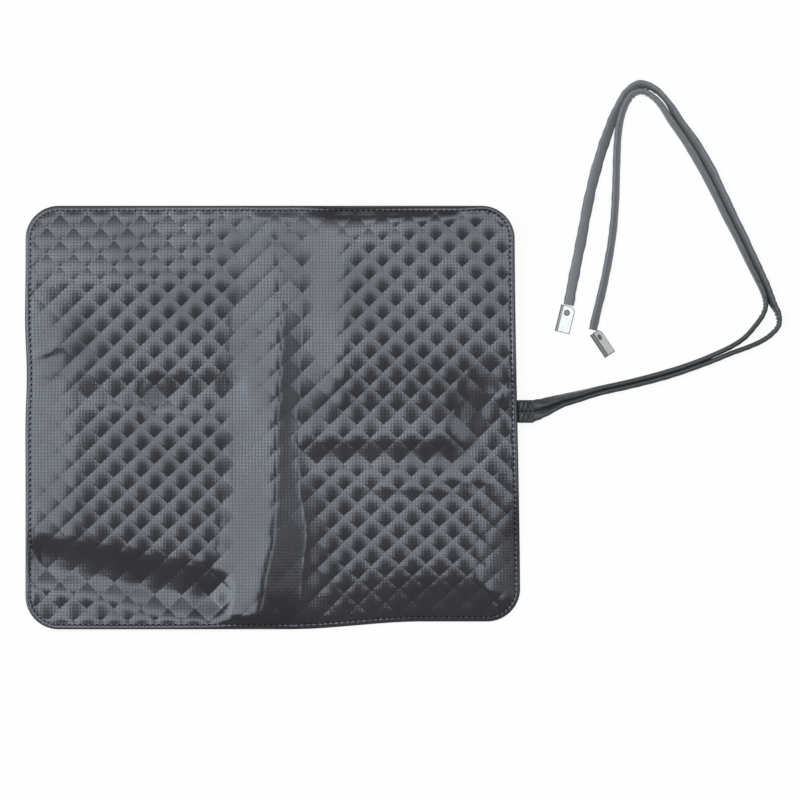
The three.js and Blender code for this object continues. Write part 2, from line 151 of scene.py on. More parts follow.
OUTER_ROUTE: list[Place] = [
    (0.1484, 0.0003, 0.0062), (0.155, 0.0026, 0.0052), (0.165, 0.0072, 0.0039), (0.176, 0.0107, 0.0033),
    *((x, y, STRAP_LEVEL) for x, y in (
        (0.1876, 0.0139), (0.2013, 0.0169), (0.215, 0.0202), (0.2287, 0.024), (0.2424, 0.0287),
        (0.2538, 0.033), (0.263, 0.0368), (0.2721, 0.0401), (0.2801, 0.0437), (0.2858, 0.0477),
        (0.2898, 0.0528), (0.2895, 0.0591), (0.2863, 0.0654), (0.2838, 0.0722), (0.2806, 0.0797),
        (0.2769, 0.0876), (0.2704, 0.1014), (0.2637, 0.1151), (0.2572, 0.1288), (0.2507, 0.1425),
        (0.2427, 0.1562), (0.233, 0.1699), (0.2261, 0.1807), (0.219, 0.1876), (0.211, 0.1903),
        (0.2041, 0.1864), (0.1987, 0.1779), (0.1947, 0.1693), (0.1907, 0.1585), (0.187, 0.147),
        (0.1833, 0.1333), (0.1801, 0.1185), (0.1773, 0.1031), (0.1742, 0.0876), (0.1716, 0.0745),
        (0.1698, 0.0642),
    )),
]


class MaterialMix:
    """A material in the making: its surface shader, and the nodes that are added and joined."""

    def __init__(self, name: str) -> None:
        """Starts the material.

        Args:
            name: The material's name.
        """
        self.made = bpy.data.materials.new(name)
        self.made.use_nodes = True
        self.shader = self.made.node_tree.nodes["Principled BSDF"]

    def add(self, kind: str, values: dict[str | int, float | tuple[float, ...]] | None = None,
            **settings: str) -> bpy.types.Node:
        """Adds a node.

        Args:
            kind: The node's type, without the words that every shader node's type starts with.
            values: The inputs that are set, by name or number.
            settings: The node's own settings, such as the name of an attribute.

        Returns:
            The node.
        """
        node = self.made.node_tree.nodes.new(f"ShaderNode{kind}")
        for setting, choice in settings.items():
            setattr(node, setting, choice)
        self.set(node, values or {})
        return node

    def set(self, node: bpy.types.Node, values: dict[str | int, float | tuple[float, ...]]) -> None:
        """Sets inputs of a node, by name or number."""
        for socket, value in values.items():
            node.inputs[socket].default_value = value

    def join(self, source: bpy.types.Node, output: str, target: bpy.types.Node, socket: str | int) -> None:
        """Joins a node's output to an input of another."""
        self.made.node_tree.links.new(source.outputs[output], target.inputs[socket])

    def combine(self, operation: str, first: tuple[bpy.types.Node, str],
                second: tuple[bpy.types.Node, str]) -> bpy.types.Node:
        """Adds a node of arithmetic on two outputs.

        Args:
            operation: The kind of arithmetic.
            first: The first node and its output.
            second: The second node and its output.

        Returns:
            The node, whose output is its value.
        """
        node = self.add("Math", operation=operation)
        for socket, (source, output) in enumerate((first, second)):
            self.join(source, output, node, socket)
        return node

    def two_tones(self, source: bpy.types.Node, dark: Color, light: Color, low: float = 0.0,
                  high: float = 1.0) -> bpy.types.Node:
        """Adds a node that colours the surface between two tones and joins it.

        Args:
            source: The node whose factor picks the tone.
            dark: The tone at the low end.
            light: The tone at the high end.
            low: The factor up to which the tone is dark.
            high: The factor from which the tone is light.

        Returns:
            The node.
        """
        tint = self.add("ValToRGB")
        for element, position, tone in zip(tint.color_ramp.elements, (low, high), (dark, light)):
            element.position = position
            element.color = (*tone, 1.0)
        self.join(source, "Fac", tint, "Fac")
        self.join(tint, "Color", self.shader, "Base Color")
        return tint

    def vary_gloss(self, source: bpy.types.Node, low: float, high: float) -> None:
        """Lets the roughness vary with a node's factor.

        Args:
            source: The node.
            low: The roughness at a factor of 0.
            high: The roughness at a factor of 1.
        """
        gloss = self.add("MapRange", {"To Min": low, "To Max": high})
        self.join(source, "Fac", gloss, "Value")
        self.join(gloss, "Result", self.shader, "Roughness")

    def press(self, source: bpy.types.Node, output: str, strength: float, depth: float) -> None:
        """Presses a relief into the surface.

        Args:
            source: The node that gives the relief.
            output: The node's output.
            strength: How strongly the relief shows.
            depth: How deep the relief is, in metres.
        """
        bump = self.add("Bump", {"Strength": strength, "Distance": depth})
        self.join(source, output, bump, "Height")
        self.join(bump, "Normal", self.shader, "Normal")


@dataclass(frozen=True)
class Leatherette:
    """A coated cloth: a dark base under a pale sheen, with a fine woven grain pressed into it."""

    name: str
    base: Color
    sheen: Color
    roughness: float
    ior: float
    grain_pitch: float = 1.85 * MM
    grain_depth: float = 0.026 * MM
    grain_shine: float = 0.17
    rib_shine: float = 2.2
    grain_waver: float = 1.6
    grain_detail: float = 2.0
    grain_detail_scale: float = 1.7
    row_floor: float = 0.16
    # How much paler the colour is painted where the piece's attribute marks it: painted light
    painted_light: float = 0.0
    wear: float = 0.15
    gloss_spread: float = 0.12
    clouds: float = 22.0
    cloud_detail: float = 4.0
    cloud_from: float = 0.3
    cloud_to: float = 0.7
    patch_detail: float = 3.0
    patch_from: float = 0.38
    patch_to: float = 0.64
    patch_floor: float = 0.4

    def material(self) -> bpy.types.Material:
        """Builds the node material.

        Returns:
            A material whose grain follows the sheet's own place attribute.
        """
        mix = MaterialMix(self.name)
        mix.set(mix.shader, {"IOR": self.ior, "Specular Tint": (*self.sheen, 1.0)})
        place = mix.add("Attribute", attribute_name="place")
        cloud = mix.add("TexNoise", {"Scale": self.clouds, "Detail": self.cloud_detail})
        mix.join(place, "Vector", cloud, "Vector")
        tint = mix.two_tones(cloud, toned(self.base, 1.0 - self.wear), toned(self.base, 1.0 + self.wear),
                             self.cloud_from, self.cloud_to)
        if self.painted_light:
            self._paint_pale(mix, tint)
        spread = self.roughness * self.gloss_spread
        mix.vary_gloss(cloud, self.roughness - spread, self.roughness + spread)
        self._press_grain(mix, place)
        return mix.made

    def _paint_pale(self, mix: MaterialMix, tint: bpy.types.Node) -> None:
        """Paints the colour paler where the piece's attribute marks it, as painted light.

        Args:
            mix: The material in the making.
            tint: The node that gives the fresh colour.
        """
        painted_share = mix.add("Attribute", attribute_name="painted_light")
        pale = mix.add("MixRGB", {"Color2": (*toned(self.base, 1.0 + self.painted_light), 1.0)})
        mix.join(painted_share, "Fac", pale, "Fac")
        mix.join(tint, "Color", pale, "Color1")
        mix.join(pale, "Color", mix.shader, "Base Color")

    def _press_grain(self, mix: MaterialMix, place: bpy.types.Node) -> None:
        """Adds the woven grain: two rows of fine ribs that cross, pressed deeper in some patches.

        Args:
            mix: The material in the making.
            place: The node that gives the sheet's own place.
        """
        ribs = []
        for direction in ("X", "Y"):
            wave = mix.add("TexWave", {"Scale": WAVE_BAND / self.grain_pitch, "Distortion": self.grain_waver,
                                       "Detail": self.grain_detail, "Detail Scale": self.grain_detail_scale},
                           bands_direction=direction)
            mix.join(place, "Vector", wave, "Vector")
            ribs.append(wave)
        rows = mix.add("MapRange", {"To Min": self.row_floor})
        mix.join(ribs[1], "Fac", rows, "Value")
        cross = mix.combine("MULTIPLY", (ribs[0], "Fac"), (rows, "Result"))
        patches = mix.add("TexNoise", {"Scale": self.clouds, "Detail": self.patch_detail})
        mix.join(place, "Vector", patches, "Vector")
        strength = mix.add("MapRange", {"From Min": self.patch_from, "From Max": self.patch_to,
                                        "To Min": self.patch_floor})
        mix.join(patches, "Fac", strength, "Value")
        pressed = mix.combine("MULTIPLY", (cross, "Value"), (strength, "Result"))
        shine = mix.add("MapRange", {"To Min": PLAIN_SPECULAR - self.grain_shine,
                                     "To Max": PLAIN_SPECULAR + self.rib_shine * self.grain_shine})
        mix.join(pressed, "Value", shine, "Value")
        mix.join(shine, "Result", mix.shader, "Specular IOR Level")
        mix.press(pressed, "Value", 1.0, self.grain_depth)


@dataclass(frozen=True)
class PolishedMetal:
    """Plated tag metal: bright, with faint scratches and cloudy patches."""

    name: str
    color: Color
    roughness: float
    gloss_spread: float = 0.12
    tarnish: float = 0.9
    clouds: float = 220.0
    cloud_detail: float = 5.0
    scratches: float = 900.0
    scratch_stretch: float = 0.08
    scratch_strength: float = 0.3
    scratch_depth: float = 0.01 * MM

    def material(self) -> bpy.types.Material:
        """Builds the node material.

        Returns:
            A metal whose roughness and normal vary a little on object coordinates.
        """
        mix = MaterialMix(self.name)
        mix.set(mix.shader, {"Metallic": 1.0})
        place = mix.add("TexCoord")
        cloud = mix.add("TexNoise", {"Scale": self.clouds, "Detail": self.cloud_detail})
        mix.join(place, "Object", cloud, "Vector")
        mix.two_tones(cloud, toned(self.color, self.tarnish), self.color)
        mix.vary_gloss(cloud, self.roughness, self.roughness + self.gloss_spread)
        scratch = mix.add("TexNoise", {"Scale": self.scratches})
        stretch = mix.add("Mapping", {"Scale": (1.0, self.scratch_stretch, 1.0)})
        mix.join(place, "Object", stretch, "Vector")
        mix.join(stretch, "Vector", scratch, "Vector")
        mix.press(scratch, "Fac", self.scratch_strength, self.scratch_depth)
        return mix.made


@dataclass(frozen=True)
class Swell:
    """A soft rise or dent of the cloth: an oval hill with a turned long side."""

    x: float
    y: float
    reach_x: float
    reach_y: float
    rise: float
    turn: float = 0.0

    def at(self, x: float, y: float) -> float:
        """The height that the swell adds.

        Args:
            x: The flat place to the right, in millimetres.
            y: The flat place towards the flaps' edge, in millimetres.

        Returns:
            The height, in the unit of the rise.
        """
        dx, dy = x - self.x, y - self.y
        cos, sin = math.cos(self.turn), math.sin(self.turn)
        u = (dx * cos + dy * sin) / self.reach_x
        v = (dy * cos - dx * sin) / self.reach_y
        return self.rise * math.exp(-0.5 * (u * u + v * v))


@dataclass(frozen=True)
class FoldLine:
    """A straight line that a fold follows, in millimetres."""

    start: Spot
    end: Spot

    def beside(self, x: float, y: float) -> tuple[float, float]:
        """Where a place lies beside the line.

        Args:
            x: The flat place to the right, in millimetres.
            y: The flat place towards the flaps' edge, in millimetres.

        Returns:
            How far the place lies past the line's ends, and how far to its left, seen along it.
        """
        ax, ay = self.start
        bx, by = self.end
        length = math.hypot(bx - ax, by - ay)
        ux, uy = (bx - ax) / length, (by - ay) / length
        along = (x - ax) * ux + (y - ay) * uy
        across = (y - ay) * ux - (x - ax) * uy
        return max(-along, along - length, 0.0), across


@dataclass(frozen=True)
class Ridge(FoldLine):
    """A fold along its line, raised or sunk, with its own width on the left and right seen along the line."""

    left: float
    right: float
    rise: float
    fade: float = 18.0
    sharp: float = 0.0
    crest: float = 0.05
    keenness: float = 1.25

    def at(self, x: float, y: float) -> float:
        """The height that the fold adds.

        Args:
            x: The flat place to the right, in millimetres.
            y: The flat place towards the flaps' edge, in millimetres.

        Returns:
            The height, in millimetres.
        """
        past, across = self.beside(x, y)
        away = math.hypot(across / (self.left if across > 0 else self.right), self.crest) - self.crest
        away = min(away, 1.0)
        round_profile, keen_profile = 1.0 - smooth(away), (1.0 - away) ** self.keenness
        profile = blend_values(round_profile, keen_profile, self.sharp)
        return self.rise * profile * (1.0 - smooth(past / self.fade))


@dataclass(frozen=True)
class Terrace(FoldLine):
    """A stretch that lies higher on the left of its line, with a slope of a given width between."""

    width: float
    rise: float
    fade: float = 50.0

    def at(self, x: float, y: float) -> float:
        """The height that the terrace adds at a place, in millimetres."""
        past, across = self.beside(x, y)
        return self.rise * smooth(0.5 + across / self.width) * (1.0 - smooth(past / self.fade))


@dataclass(frozen=True)
class Crease(FoldLine):
    """A slope along its line: the cloth stands up on the left, seen along it, and lies low on the right."""

    width: float
    rise: float
    fade: float = 14.0

    def at(self, x: float, y: float) -> float:
        """The height that the crease adds.

        Args:
            x: The flat place to the right, in millimetres.
            y: The flat place towards the flaps' edge, in millimetres.

        Returns:
            The height, in millimetres.
        """
        past, across = self.beside(x, y)
        past, across = past / self.fade, across / self.width
        return self.rise * across * math.exp(0.5 - 0.5 * across * across - 0.5 * past * past)


@dataclass(frozen=True)
class FoldStop:
    """The middle fold at one height of the bag: where its crest lies, its reaches and its rise."""

    y: float
    x: float
    left: float
    right: float
    rise: float


@dataclass(frozen=True)
class MiddleFold:
    """The long fold over the bag's spine: a keen crest that wanders, with a foot on each side."""

    stops: tuple[FoldStop, ...]
    edge: float = 0.13
    keenness: float = 1.12

    def at(self, x: float, y: float) -> float:
        """The height that the fold adds.

        Args:
            x: The flat place to the right, in millimetres.
            y: The flat place towards the flaps' edge, in millimetres.

        Returns:
            The height, in millimetres.
        """
        before, after = self.stops[0], self.stops[-1]
        for low, high in zip(self.stops, self.stops[1:]):
            if low.y <= y <= high.y:
                before, after = low, high
        share = smooth((y - before.y) / (after.y - before.y))
        across = x - blend_values(before.x, after.x, share)
        reach = blend_values(before.left, after.left, share)
        if across > 0:
            reach = blend_values(before.right, after.right, share)
        away = min(math.hypot(across / reach, self.edge) - self.edge, 1.0)
        return blend_values(before.rise, after.rise, share) * (1.0 - away) ** self.keenness


@dataclass(frozen=True)
class Droop:
    """A stretch of the rim that sinks: how much of its height it loses, where, and how far in that reaches.

    A level one is measured from the far edge alone, and runs straight past the corners.
    """

    share: Swell
    reach: float
    power: float = 1.6
    level: bool = False

    def at(self, x: float, y: float, inside: float) -> float:
        """The share of the height lost at a place that lies so far inside the outline."""
        return self.share.at(x, y) * max(1.0 - max(inside, 0.0) / self.reach, 0.0) ** self.power


@dataclass
class BagShape:
    """The lie of the opened bag, in millimetres: its outline, how its rim droops, and its folds."""

    # The outline
    width: float = 281.0
    length: float = 242.0
    corner: float = 19.0
    # How the layers sink all round, towards the far edge, and less where the straps leave
    rim_reach: float = 8.0
    rim_droop: float = 0.015
    far_roll: float = 0.02
    far_roll_reach: float = 3.5
    far_roll_side: Ramp = Ramp(20.0, -60.0)
    crown: float = 0.22
    strap_lift_x: float = 140.5
    strap_lift_y: float = 3.4
    strap_lift_reach: float = 17.0
    strap_lift: float = 0.72
    # The heights between which the layers start to follow the folds, and how these fade at the rim
    fold_from: float = 5.8
    fold_over: float = 3.8
    fold_rim_reach: float = 14.0
    fold_at_rim: float = 0.3
    run_on: float = 0.7
    run_on_side: Ramp = Ramp(96.0, 34.0)
    run_on_far: Ramp = Ramp(8.0, 30.0)
    least_embossing: float = 0.12
    # How the sheet is pulled out of square, waves at its left edge and is drawn up at its near right
    square_pull: float = 1.6
    square_pull_side: Ramp = Ramp(-40.0, 180.0)
    left_ripple: float = 0.7
    left_ripple_pitch: float = 14.0
    left_ripple_x: float = -140.0
    left_ripple_y: float = 30.0
    left_ripple_reach_x: float = 24.0
    left_ripple_reach_y: float = 34.0
    near_pull: float = 4.4
    near_pull_low: Ramp = Ramp(10.0, -125.0)
    near_pull_side: Ramp = Ramp(10.0, 75.0)
    droops: tuple[Droop, ...] = (
        Droop(Swell(-122.0, 121.0, 70.0, 90.0, 0.54), 45.0, 1.15, True),
        Droop(Swell(42.0, 121.0, 20.0, 60.0, 0.34), 22.0),
        Droop(Swell(-141.0, -16.0, 60.0, 52.0, 0.27), 30.0, 1.15),
        Droop(Swell(-141.0, 46.0, 30.0, 24.0, 0.16), 26.0),
        Droop(Swell(86.0, -121.0, 50.0, 50.0, 0.42), 38.0),
        Droop(Swell(141.0, -88.0, 40.0, 26.0, 0.42), 26.0),
        Droop(Swell(16.0, -121.0, 13.0, 60.0, 0.2), 70.0),
        Droop(Swell(-82.0, -121.0, 44.0, 20.0, -0.2), 14.0),
    )
    flats: tuple[Swell, ...] = (
        Swell(-10.0, -25.0, 9.0, 70.0, 0.85),
        Swell(-22.0, 0.0, 6.0, 90.0, 0.5),
        Swell(10.0, -10.0, 3.5, 76.0, 0.6),
        Swell(13.0, -94.0, 13.0, 24.0, 0.8),
        Swell(16.0, -58.0, 9.0, 22.0, 0.7),
        Swell(-4.0, 95.0, 6.0, 26.0, 0.3),
        Swell(31.0, 86.0, 11.0, 34.0, 0.88),
        Swell(27.0, 30.0, 9.0, 30.0, 0.5),
        Swell(-136.0, 38.0, 24.0, 32.0, 0.8),
        Swell(-136.0, -28.0, 21.0, 34.0, 0.86),
        Swell(138.0, -56.0, 7.0, 40.0, 0.4),
        Swell(136.0, -84.0, 14.0, 26.0, 0.5),
        Swell(113.0, 2.0, 8.0, 21.0, 0.9, -0.28),
        Swell(-98.0, -82.0, 44.0, 8.5, 0.74, -0.2),
    )
    folds_made: tuple[Swell | Ridge | Crease | Terrace | MiddleFold, ...] = (
        MiddleFold((
            FoldStop(-122.0, -9.0, 26.0, 19.0, 4.0), FoldStop(-96.0, -4.5, 27.0, 19.0, 4.6),
            FoldStop(-66.0, 0.6, 27.0, 17.0, 4.2), FoldStop(-42.0, 2.2, 27.0, 13.0, 3.3),
            FoldStop(-12.0, 2.4, 27.0, 11.0, 2.9), FoldStop(20.0, 4.6, 27.0, 11.0, 3.0),
            FoldStop(50.0, 5.6, 26.0, 11.5, 2.8), FoldStop(76.0, 3.6, 20.0, 13.0, 1.5),
            FoldStop(122.0, -2.0, 14.0, 16.0, 0.9))),
        Terrace((30.0, 130.0), (30.0, 44.0), 30.0, 2.8, 60.0),
        Ridge((-150.0, -80.0), (-34.0, -103.0), 19.0, 16.0, -2.7, 14.0, 0.3),
        Ridge((-100.0, 13.0), (-66.0, 12.0), 14.0, 9.0, -0.6, 20.0),
        Ridge((-66.0, 13.0), (-22.0, 16.0), 14.0, 24.0, -0.9, 12.0),
        Crease((28.0, -17.5), (100.0, -16.5), 6.5, 0.66, 8.0),
        Crease((106.0, -17.0), (119.0, 24.0), 7.0, 0.3, 6.0),
        Swell(-127.0, 38.0, 6.0, 4.0, 0.35, 0.4),
        Swell(-132.0, 22.0, 6.0, 4.0, 0.3, 0.1),
        Swell(-112.0, 33.0, 8.0, 4.0, -0.25, 0.5),
        Crease((-136.0, 33.0), (-124.0, 37.0), 2.2, 0.17, 4.0),
        Crease((-137.0, 24.0), (-126.0, 23.0), 2.4, 0.2, 4.0),
        Crease((60.0, -42.5), (104.0, -43.5), 2.6, 0.16, 8.0),
        Crease((102.0, -38.0), (118.0, -39.5), 2.4, 0.18, 6.0),
        Swell(132.0, 13.0, 4.0, 3.0, 0.5),
        Swell(15.0, -106.0, 5.0, 7.0, 0.2, 0.5),
        Swell(4.0, -98.0, 4.0, 9.0, -0.15, -0.4),
    )

    def outline(self, x: float, y: float) -> float:
        """How far a flat place lies inside the outline.

        Args:
            x: The flat place to the right, in millimetres.
            y: The flat place towards the flaps' edge, in millimetres.

        Returns:
            The distance to the outline, in millimetres, negative outside.
        """
        radius = self.corner
        dx = abs(x) - (self.width / 2 - radius)
        dy = abs(y) - (self.length / 2 - radius)
        outside = math.hypot(max(dx, 0.0), max(dy, 0.0))
        return radius - outside - min(max(dx, dy), 0.0)

    def settle(self, x: float, y: float) -> float:
        """How thick the bag's layers stand.

        Args:
            x: The flat place to the right, in millimetres.
            y: The flat place towards the flaps' edge, in millimetres.

        Returns:
            The share of their full height.
        """
        inside = self.outline(x, y)
        near = math.hypot(x - self.strap_lift_x, y - self.strap_lift_y) / self.strap_lift_reach
        droop = self.rim_droop * (1.0 - smooth(inside / self.rim_reach))
        droop += self.crown * (2.0 * y / self.length) ** 2
        below = self.length / 2 - y
        droop += self.far_roll * (1.0 - smooth(below / self.far_roll_reach)) * self.far_roll_side.at(x)
        droop += sum(sunk.at(x, y, below if sunk.level else inside) for sunk in self.droops)
        return 1.0 - droop * (1.0 - self.strap_lift * math.exp(-near * near))

    def folds(self, x: float, y: float) -> float:
        """The folds and swells of the outer cover, which fade out towards most of the rim.

        Args:
            x: The flat place to the right, in millimetres.
            y: The flat place towards the flaps' edge, in millimetres.

        Returns:
            Their height, in millimetres.
        """
        run_on = self.run_on * self.run_on_side.at(x) * self.run_on_far.at(y)
        kept = smooth(self.outline(x, y) / self.fold_rim_reach + self.fold_at_rim + run_on)
        return sum(fold.at(x, y) for fold in self.folds_made) * kept

    def embossing(self, x: float, y: float) -> float:
        """How much of the diamonds' height is left at a place, where the cloth is pulled flat."""
        return max(1.0 - sum(flat.at(x, y) for flat in self.flats), self.least_embossing)

    def nudge(self, x: float, y: float) -> Spot:
        """Where a flat place really lies, as the sheet is pulled a little out of square.

        Args:
            x: The flat place to the right, in millimetres.
            y: The flat place towards the flaps' edge, in millimetres.

        Returns:
            The place after the pull, in millimetres.
        """
        low = self.near_pull_low.at(y)
        dx = self.square_pull * self.square_pull_side.at(x) * math.sin(-y / (self.length / 2) * math.pi / 2)
        beside = (x - self.left_ripple_x) / self.left_ripple_reach_x
        beyond = (y - self.left_ripple_y) / self.left_ripple_reach_y
        ripple = math.sin(y / self.left_ripple_pitch)
        dx += self.left_ripple * math.exp(-beside ** 2) * ripple * math.exp(-beyond ** 2)
        dy = self.near_pull * low * low * self.near_pull_side.at(x)
        return x + dx, y + dy

    def place(self, x: float, y: float, z: float, loft: float = 0.0) -> Place:
        """The real place of a point of the bag, in metres.

        Args:
            x: The flat place to the right, in millimetres.
            y: The flat place towards the flaps' edge, in millimetres.
            z: The height in the full, undrooped stack of layers, in millimetres.
            loft: A height added on top, which does not droop, in millimetres.

        Returns:
            The place in metres.
        """
        real_x, real_y = self.nudge(x, y)
        followed = min(max((z - self.fold_from) / self.fold_over, 0.0), 1.0)
        height = z * self.settle(x, y) + followed * self.folds(x, y) + loft
        return real_x * MM, real_y * MM, height * MM

    def rim_stations(self, inset: float, count: int) -> list[tuple[float, float, float, float]]:
        """Points spaced evenly along the outline, drawn in by an inset.

        Args:
            inset: How far inside the outline the points lie, in millimetres.
            count: How many points there are.

        Returns:
            The flat x and y of each point and the outward direction there.
        """
        half_x, half_y = self.width / 2 - self.corner, self.length / 2 - self.corner
        arc = self.corner * math.pi / 2
        stretches = [2 * half_y, arc, 2 * half_x, arc, 2 * half_y, arc, 2 * half_x, arc]
        starts = [(1, -1), (1, 1), (1, 1), (-1, 1), (-1, 1), (-1, -1), (-1, -1), (1, -1)]
        total = sum(stretches)
        stations = []
        for index in range(count):
            left = total * index / count
            stretch = 0
            while left > stretches[stretch]:
                left -= stretches[stretch]
                stretch += 1
            corner_x, corner_y = starts[stretch][0] * half_x, starts[stretch][1] * half_y
            heading = (stretch // 2) * math.pi / 2
            if stretch % 2:
                heading += left / self.corner
                left = 0.0
            out_x, out_y = math.cos(heading), math.sin(heading)
            reach = self.corner - inset
            stations.append((corner_x - out_y * left + out_x * reach, corner_y + out_x * left + out_y * reach,
                             out_x, out_y))
        return stations


def mapped_grid(columns: int, rows: int, place: Mapping, closed: bool = False) -> bmesh.types.BMesh:
    """A grid of faces laid on a shape.

    Args:
        columns: The number of faces along the first direction.
        rows: The number of faces along the second direction.
        place: Gives the place for two shares from 0 to 1.
        closed: Whether the grid's sides meet and are sewn together.

    Returns:
        The mesh, in metres.
    """
    sheet = bmesh.new()
    bmesh.ops.create_grid(sheet, x_segments=columns, y_segments=rows, size=0.5)
    for vertex in sheet.verts:
        vertex.co = place(vertex.co.x + 0.5, vertex.co.y + 0.5)
    if closed:
        bmesh.ops.remove_doubles(sheet, verts=sheet.verts, dist=GRID_GAP)
    return sheet


def trim_to_outline(sheet: bmesh.types.BMesh, shape: BagShape, inset: float, corner_cuts: int = 7) -> None:
    """Cuts a flat sheet, in millimetres, to the bag's round-cornered outline drawn in by an inset.

    Args:
        sheet: The flat mesh to cut.
        shape: The bag whose outline is followed.
        inset: How far inside the outline the cut runs.
        corner_cuts: How many straight cuts make one round corner.
    """
    half_x, half_y = shape.width / 2 - shape.corner, shape.length / 2 - shape.corner
    radius = shape.corner - inset
    for quarter in range(4):
        for step in range(corner_cuts + 1):
            angle = (quarter + step / (corner_cuts + 1)) * math.pi / 2
            normal = Vector((math.cos(angle), math.sin(angle), 0.0))
            if step:
                corner = Vector((math.copysign(half_x, normal.x), math.copysign(half_y, normal.y), 0.0))
            else:
                corner = Vector((half_x * round(normal.x), half_y * round(normal.y), 0.0))
            bmesh.ops.bisect_plane(sheet, geom=sheet.verts[:] + sheet.edges[:] + sheet.faces[:],
                                   dist=CUT_GAP, plane_co=corner + normal * radius, plane_no=normal,
                                   clear_outer=True)


def keep_place(mesh: bpy.types.Mesh, places: list[Place]) -> None:
    """Stores where each vertex lay on the flat cloth, for grain that follows the sheet."""
    layer = mesh.attributes.new("place", "FLOAT_VECTOR", "POINT")
    layer.data.foreach_set("vector", [value for place in places for value in place])


def close_tube(tube: bmesh.types.BMesh) -> None:
    """Fills the open ends of a tube and turns its faces outwards."""
    bmesh.ops.holes_fill(tube, edges=[edge for edge in tube.edges if edge.is_boundary])
    bmesh.ops.recalc_face_normals(tube, faces=tube.faces)


def doubled(sheet: bmesh.types.BMesh) -> list[bmesh.types.BMVert]:
    """Closes a sheet with a second layer of itself, and gives the vertices of that layer."""
    grown = bmesh.ops.extrude_face_region(sheet, geom=sheet.faces[:])
    return [item for item in grown["geom"] if isinstance(item, bmesh.types.BMVert)]


def box_sides(node: str) -> tuple[float, ...]:
    """The lowest and highest x, then y, then z of a node's box, in millimetres."""
    low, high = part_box(node)
    return tuple(corner[axis] / MM for axis in range(3) for corner in (low, high))


def finished(name: str, sheet: bmesh.types.BMesh, material: bpy.types.Material,
             places: list[Place] | None = None, creased: float | None = None) -> bpy.types.Object:
    """Turns a mesh into an object of the scene.

    Args:
        name: The piece's name.
        sheet: The mesh, in metres, which is used up.
        material: The piece's material.
        places: Where each vertex lay on the flat cloth, or None for where it lies.
        creased: The angle past which an edge stays sharp, or None for smooth all over.

    Returns:
        The object, at the origin.
    """
    mesh = bpy.data.meshes.new(name)
    sheet.to_mesh(mesh)
    sheet.free()
    keep_place(mesh, places or [tuple(vertex.co) for vertex in mesh.vertices])
    mesh.polygons.foreach_set("use_smooth", [True] * len(mesh.polygons))
    if creased is not None:
        mesh.set_sharp_from_angle(angle=creased)
    mesh.materials.append(material)
    piece = bpy.data.objects.new(name, mesh)
    bpy.context.scene.collection.objects.link(piece)
    return piece


def spine_blend(piece: bpy.types.Object, reach: float) -> None:
    """Bakes a sheet that runs across the fold into place; no bend round the fold is set up.

    Args:
        piece: The sheet.
        reach: How far from the fold a bend would start, in millimetres; it is not used.
    """
    start, end = (reach * MM, 0.0, 0.0), (-reach * MM, 0.0, 0.0)
    Side.RIGHT.leaf
    Side.LEFT.leaf
    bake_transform(piece)
    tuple(start)
    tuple(end)


@dataclass
class Diamonds:
    """The embossed lattice, in millimetres: the diagonals, the height and the corner it passes through."""

    width: float = 15.4
    length: float = 15.0
    corner_x: float = 41.0
    corner_y: float = -71.6
    rise: float = 0.72
    lines: tuple[float, ...] = (0.0, 0.04, 0.11, 0.2, 0.3, 0.4, 0.5, 0.6, 0.7, 0.8, 0.89, 0.96)

    def place(self, a: float, b: float) -> Spot:
        """The flat place of a lattice coordinate; whole numbers are the crossings."""
        return (self.corner_x + (a - b) * self.width / 2, self.corner_y + (a + b) * self.length / 2)

    def height(self, x: float, y: float) -> float:
        """The height of the pillows.

        Args:
            x: The flat place to the right, in millimetres.
            y: The flat place towards the flaps' edge, in millimetres.

        Returns:
            The height, in millimetres.
        """
        sum_ab = (y - self.corner_y) * 2 / self.length
        difference = (x - self.corner_x) * 2 / self.width
        a, b = (sum_ab + difference) / 2, (sum_ab - difference) / 2
        u, v = 2 * (a - math.floor(a)) - 1, 2 * (b - math.floor(b)) - 1
        return self.rise * (1.0 - (u * u + v * v) / 2)

    @property
    def mean_height(self) -> float:
        """The mean height of the pillows."""
        return self.rise * 2 / 3


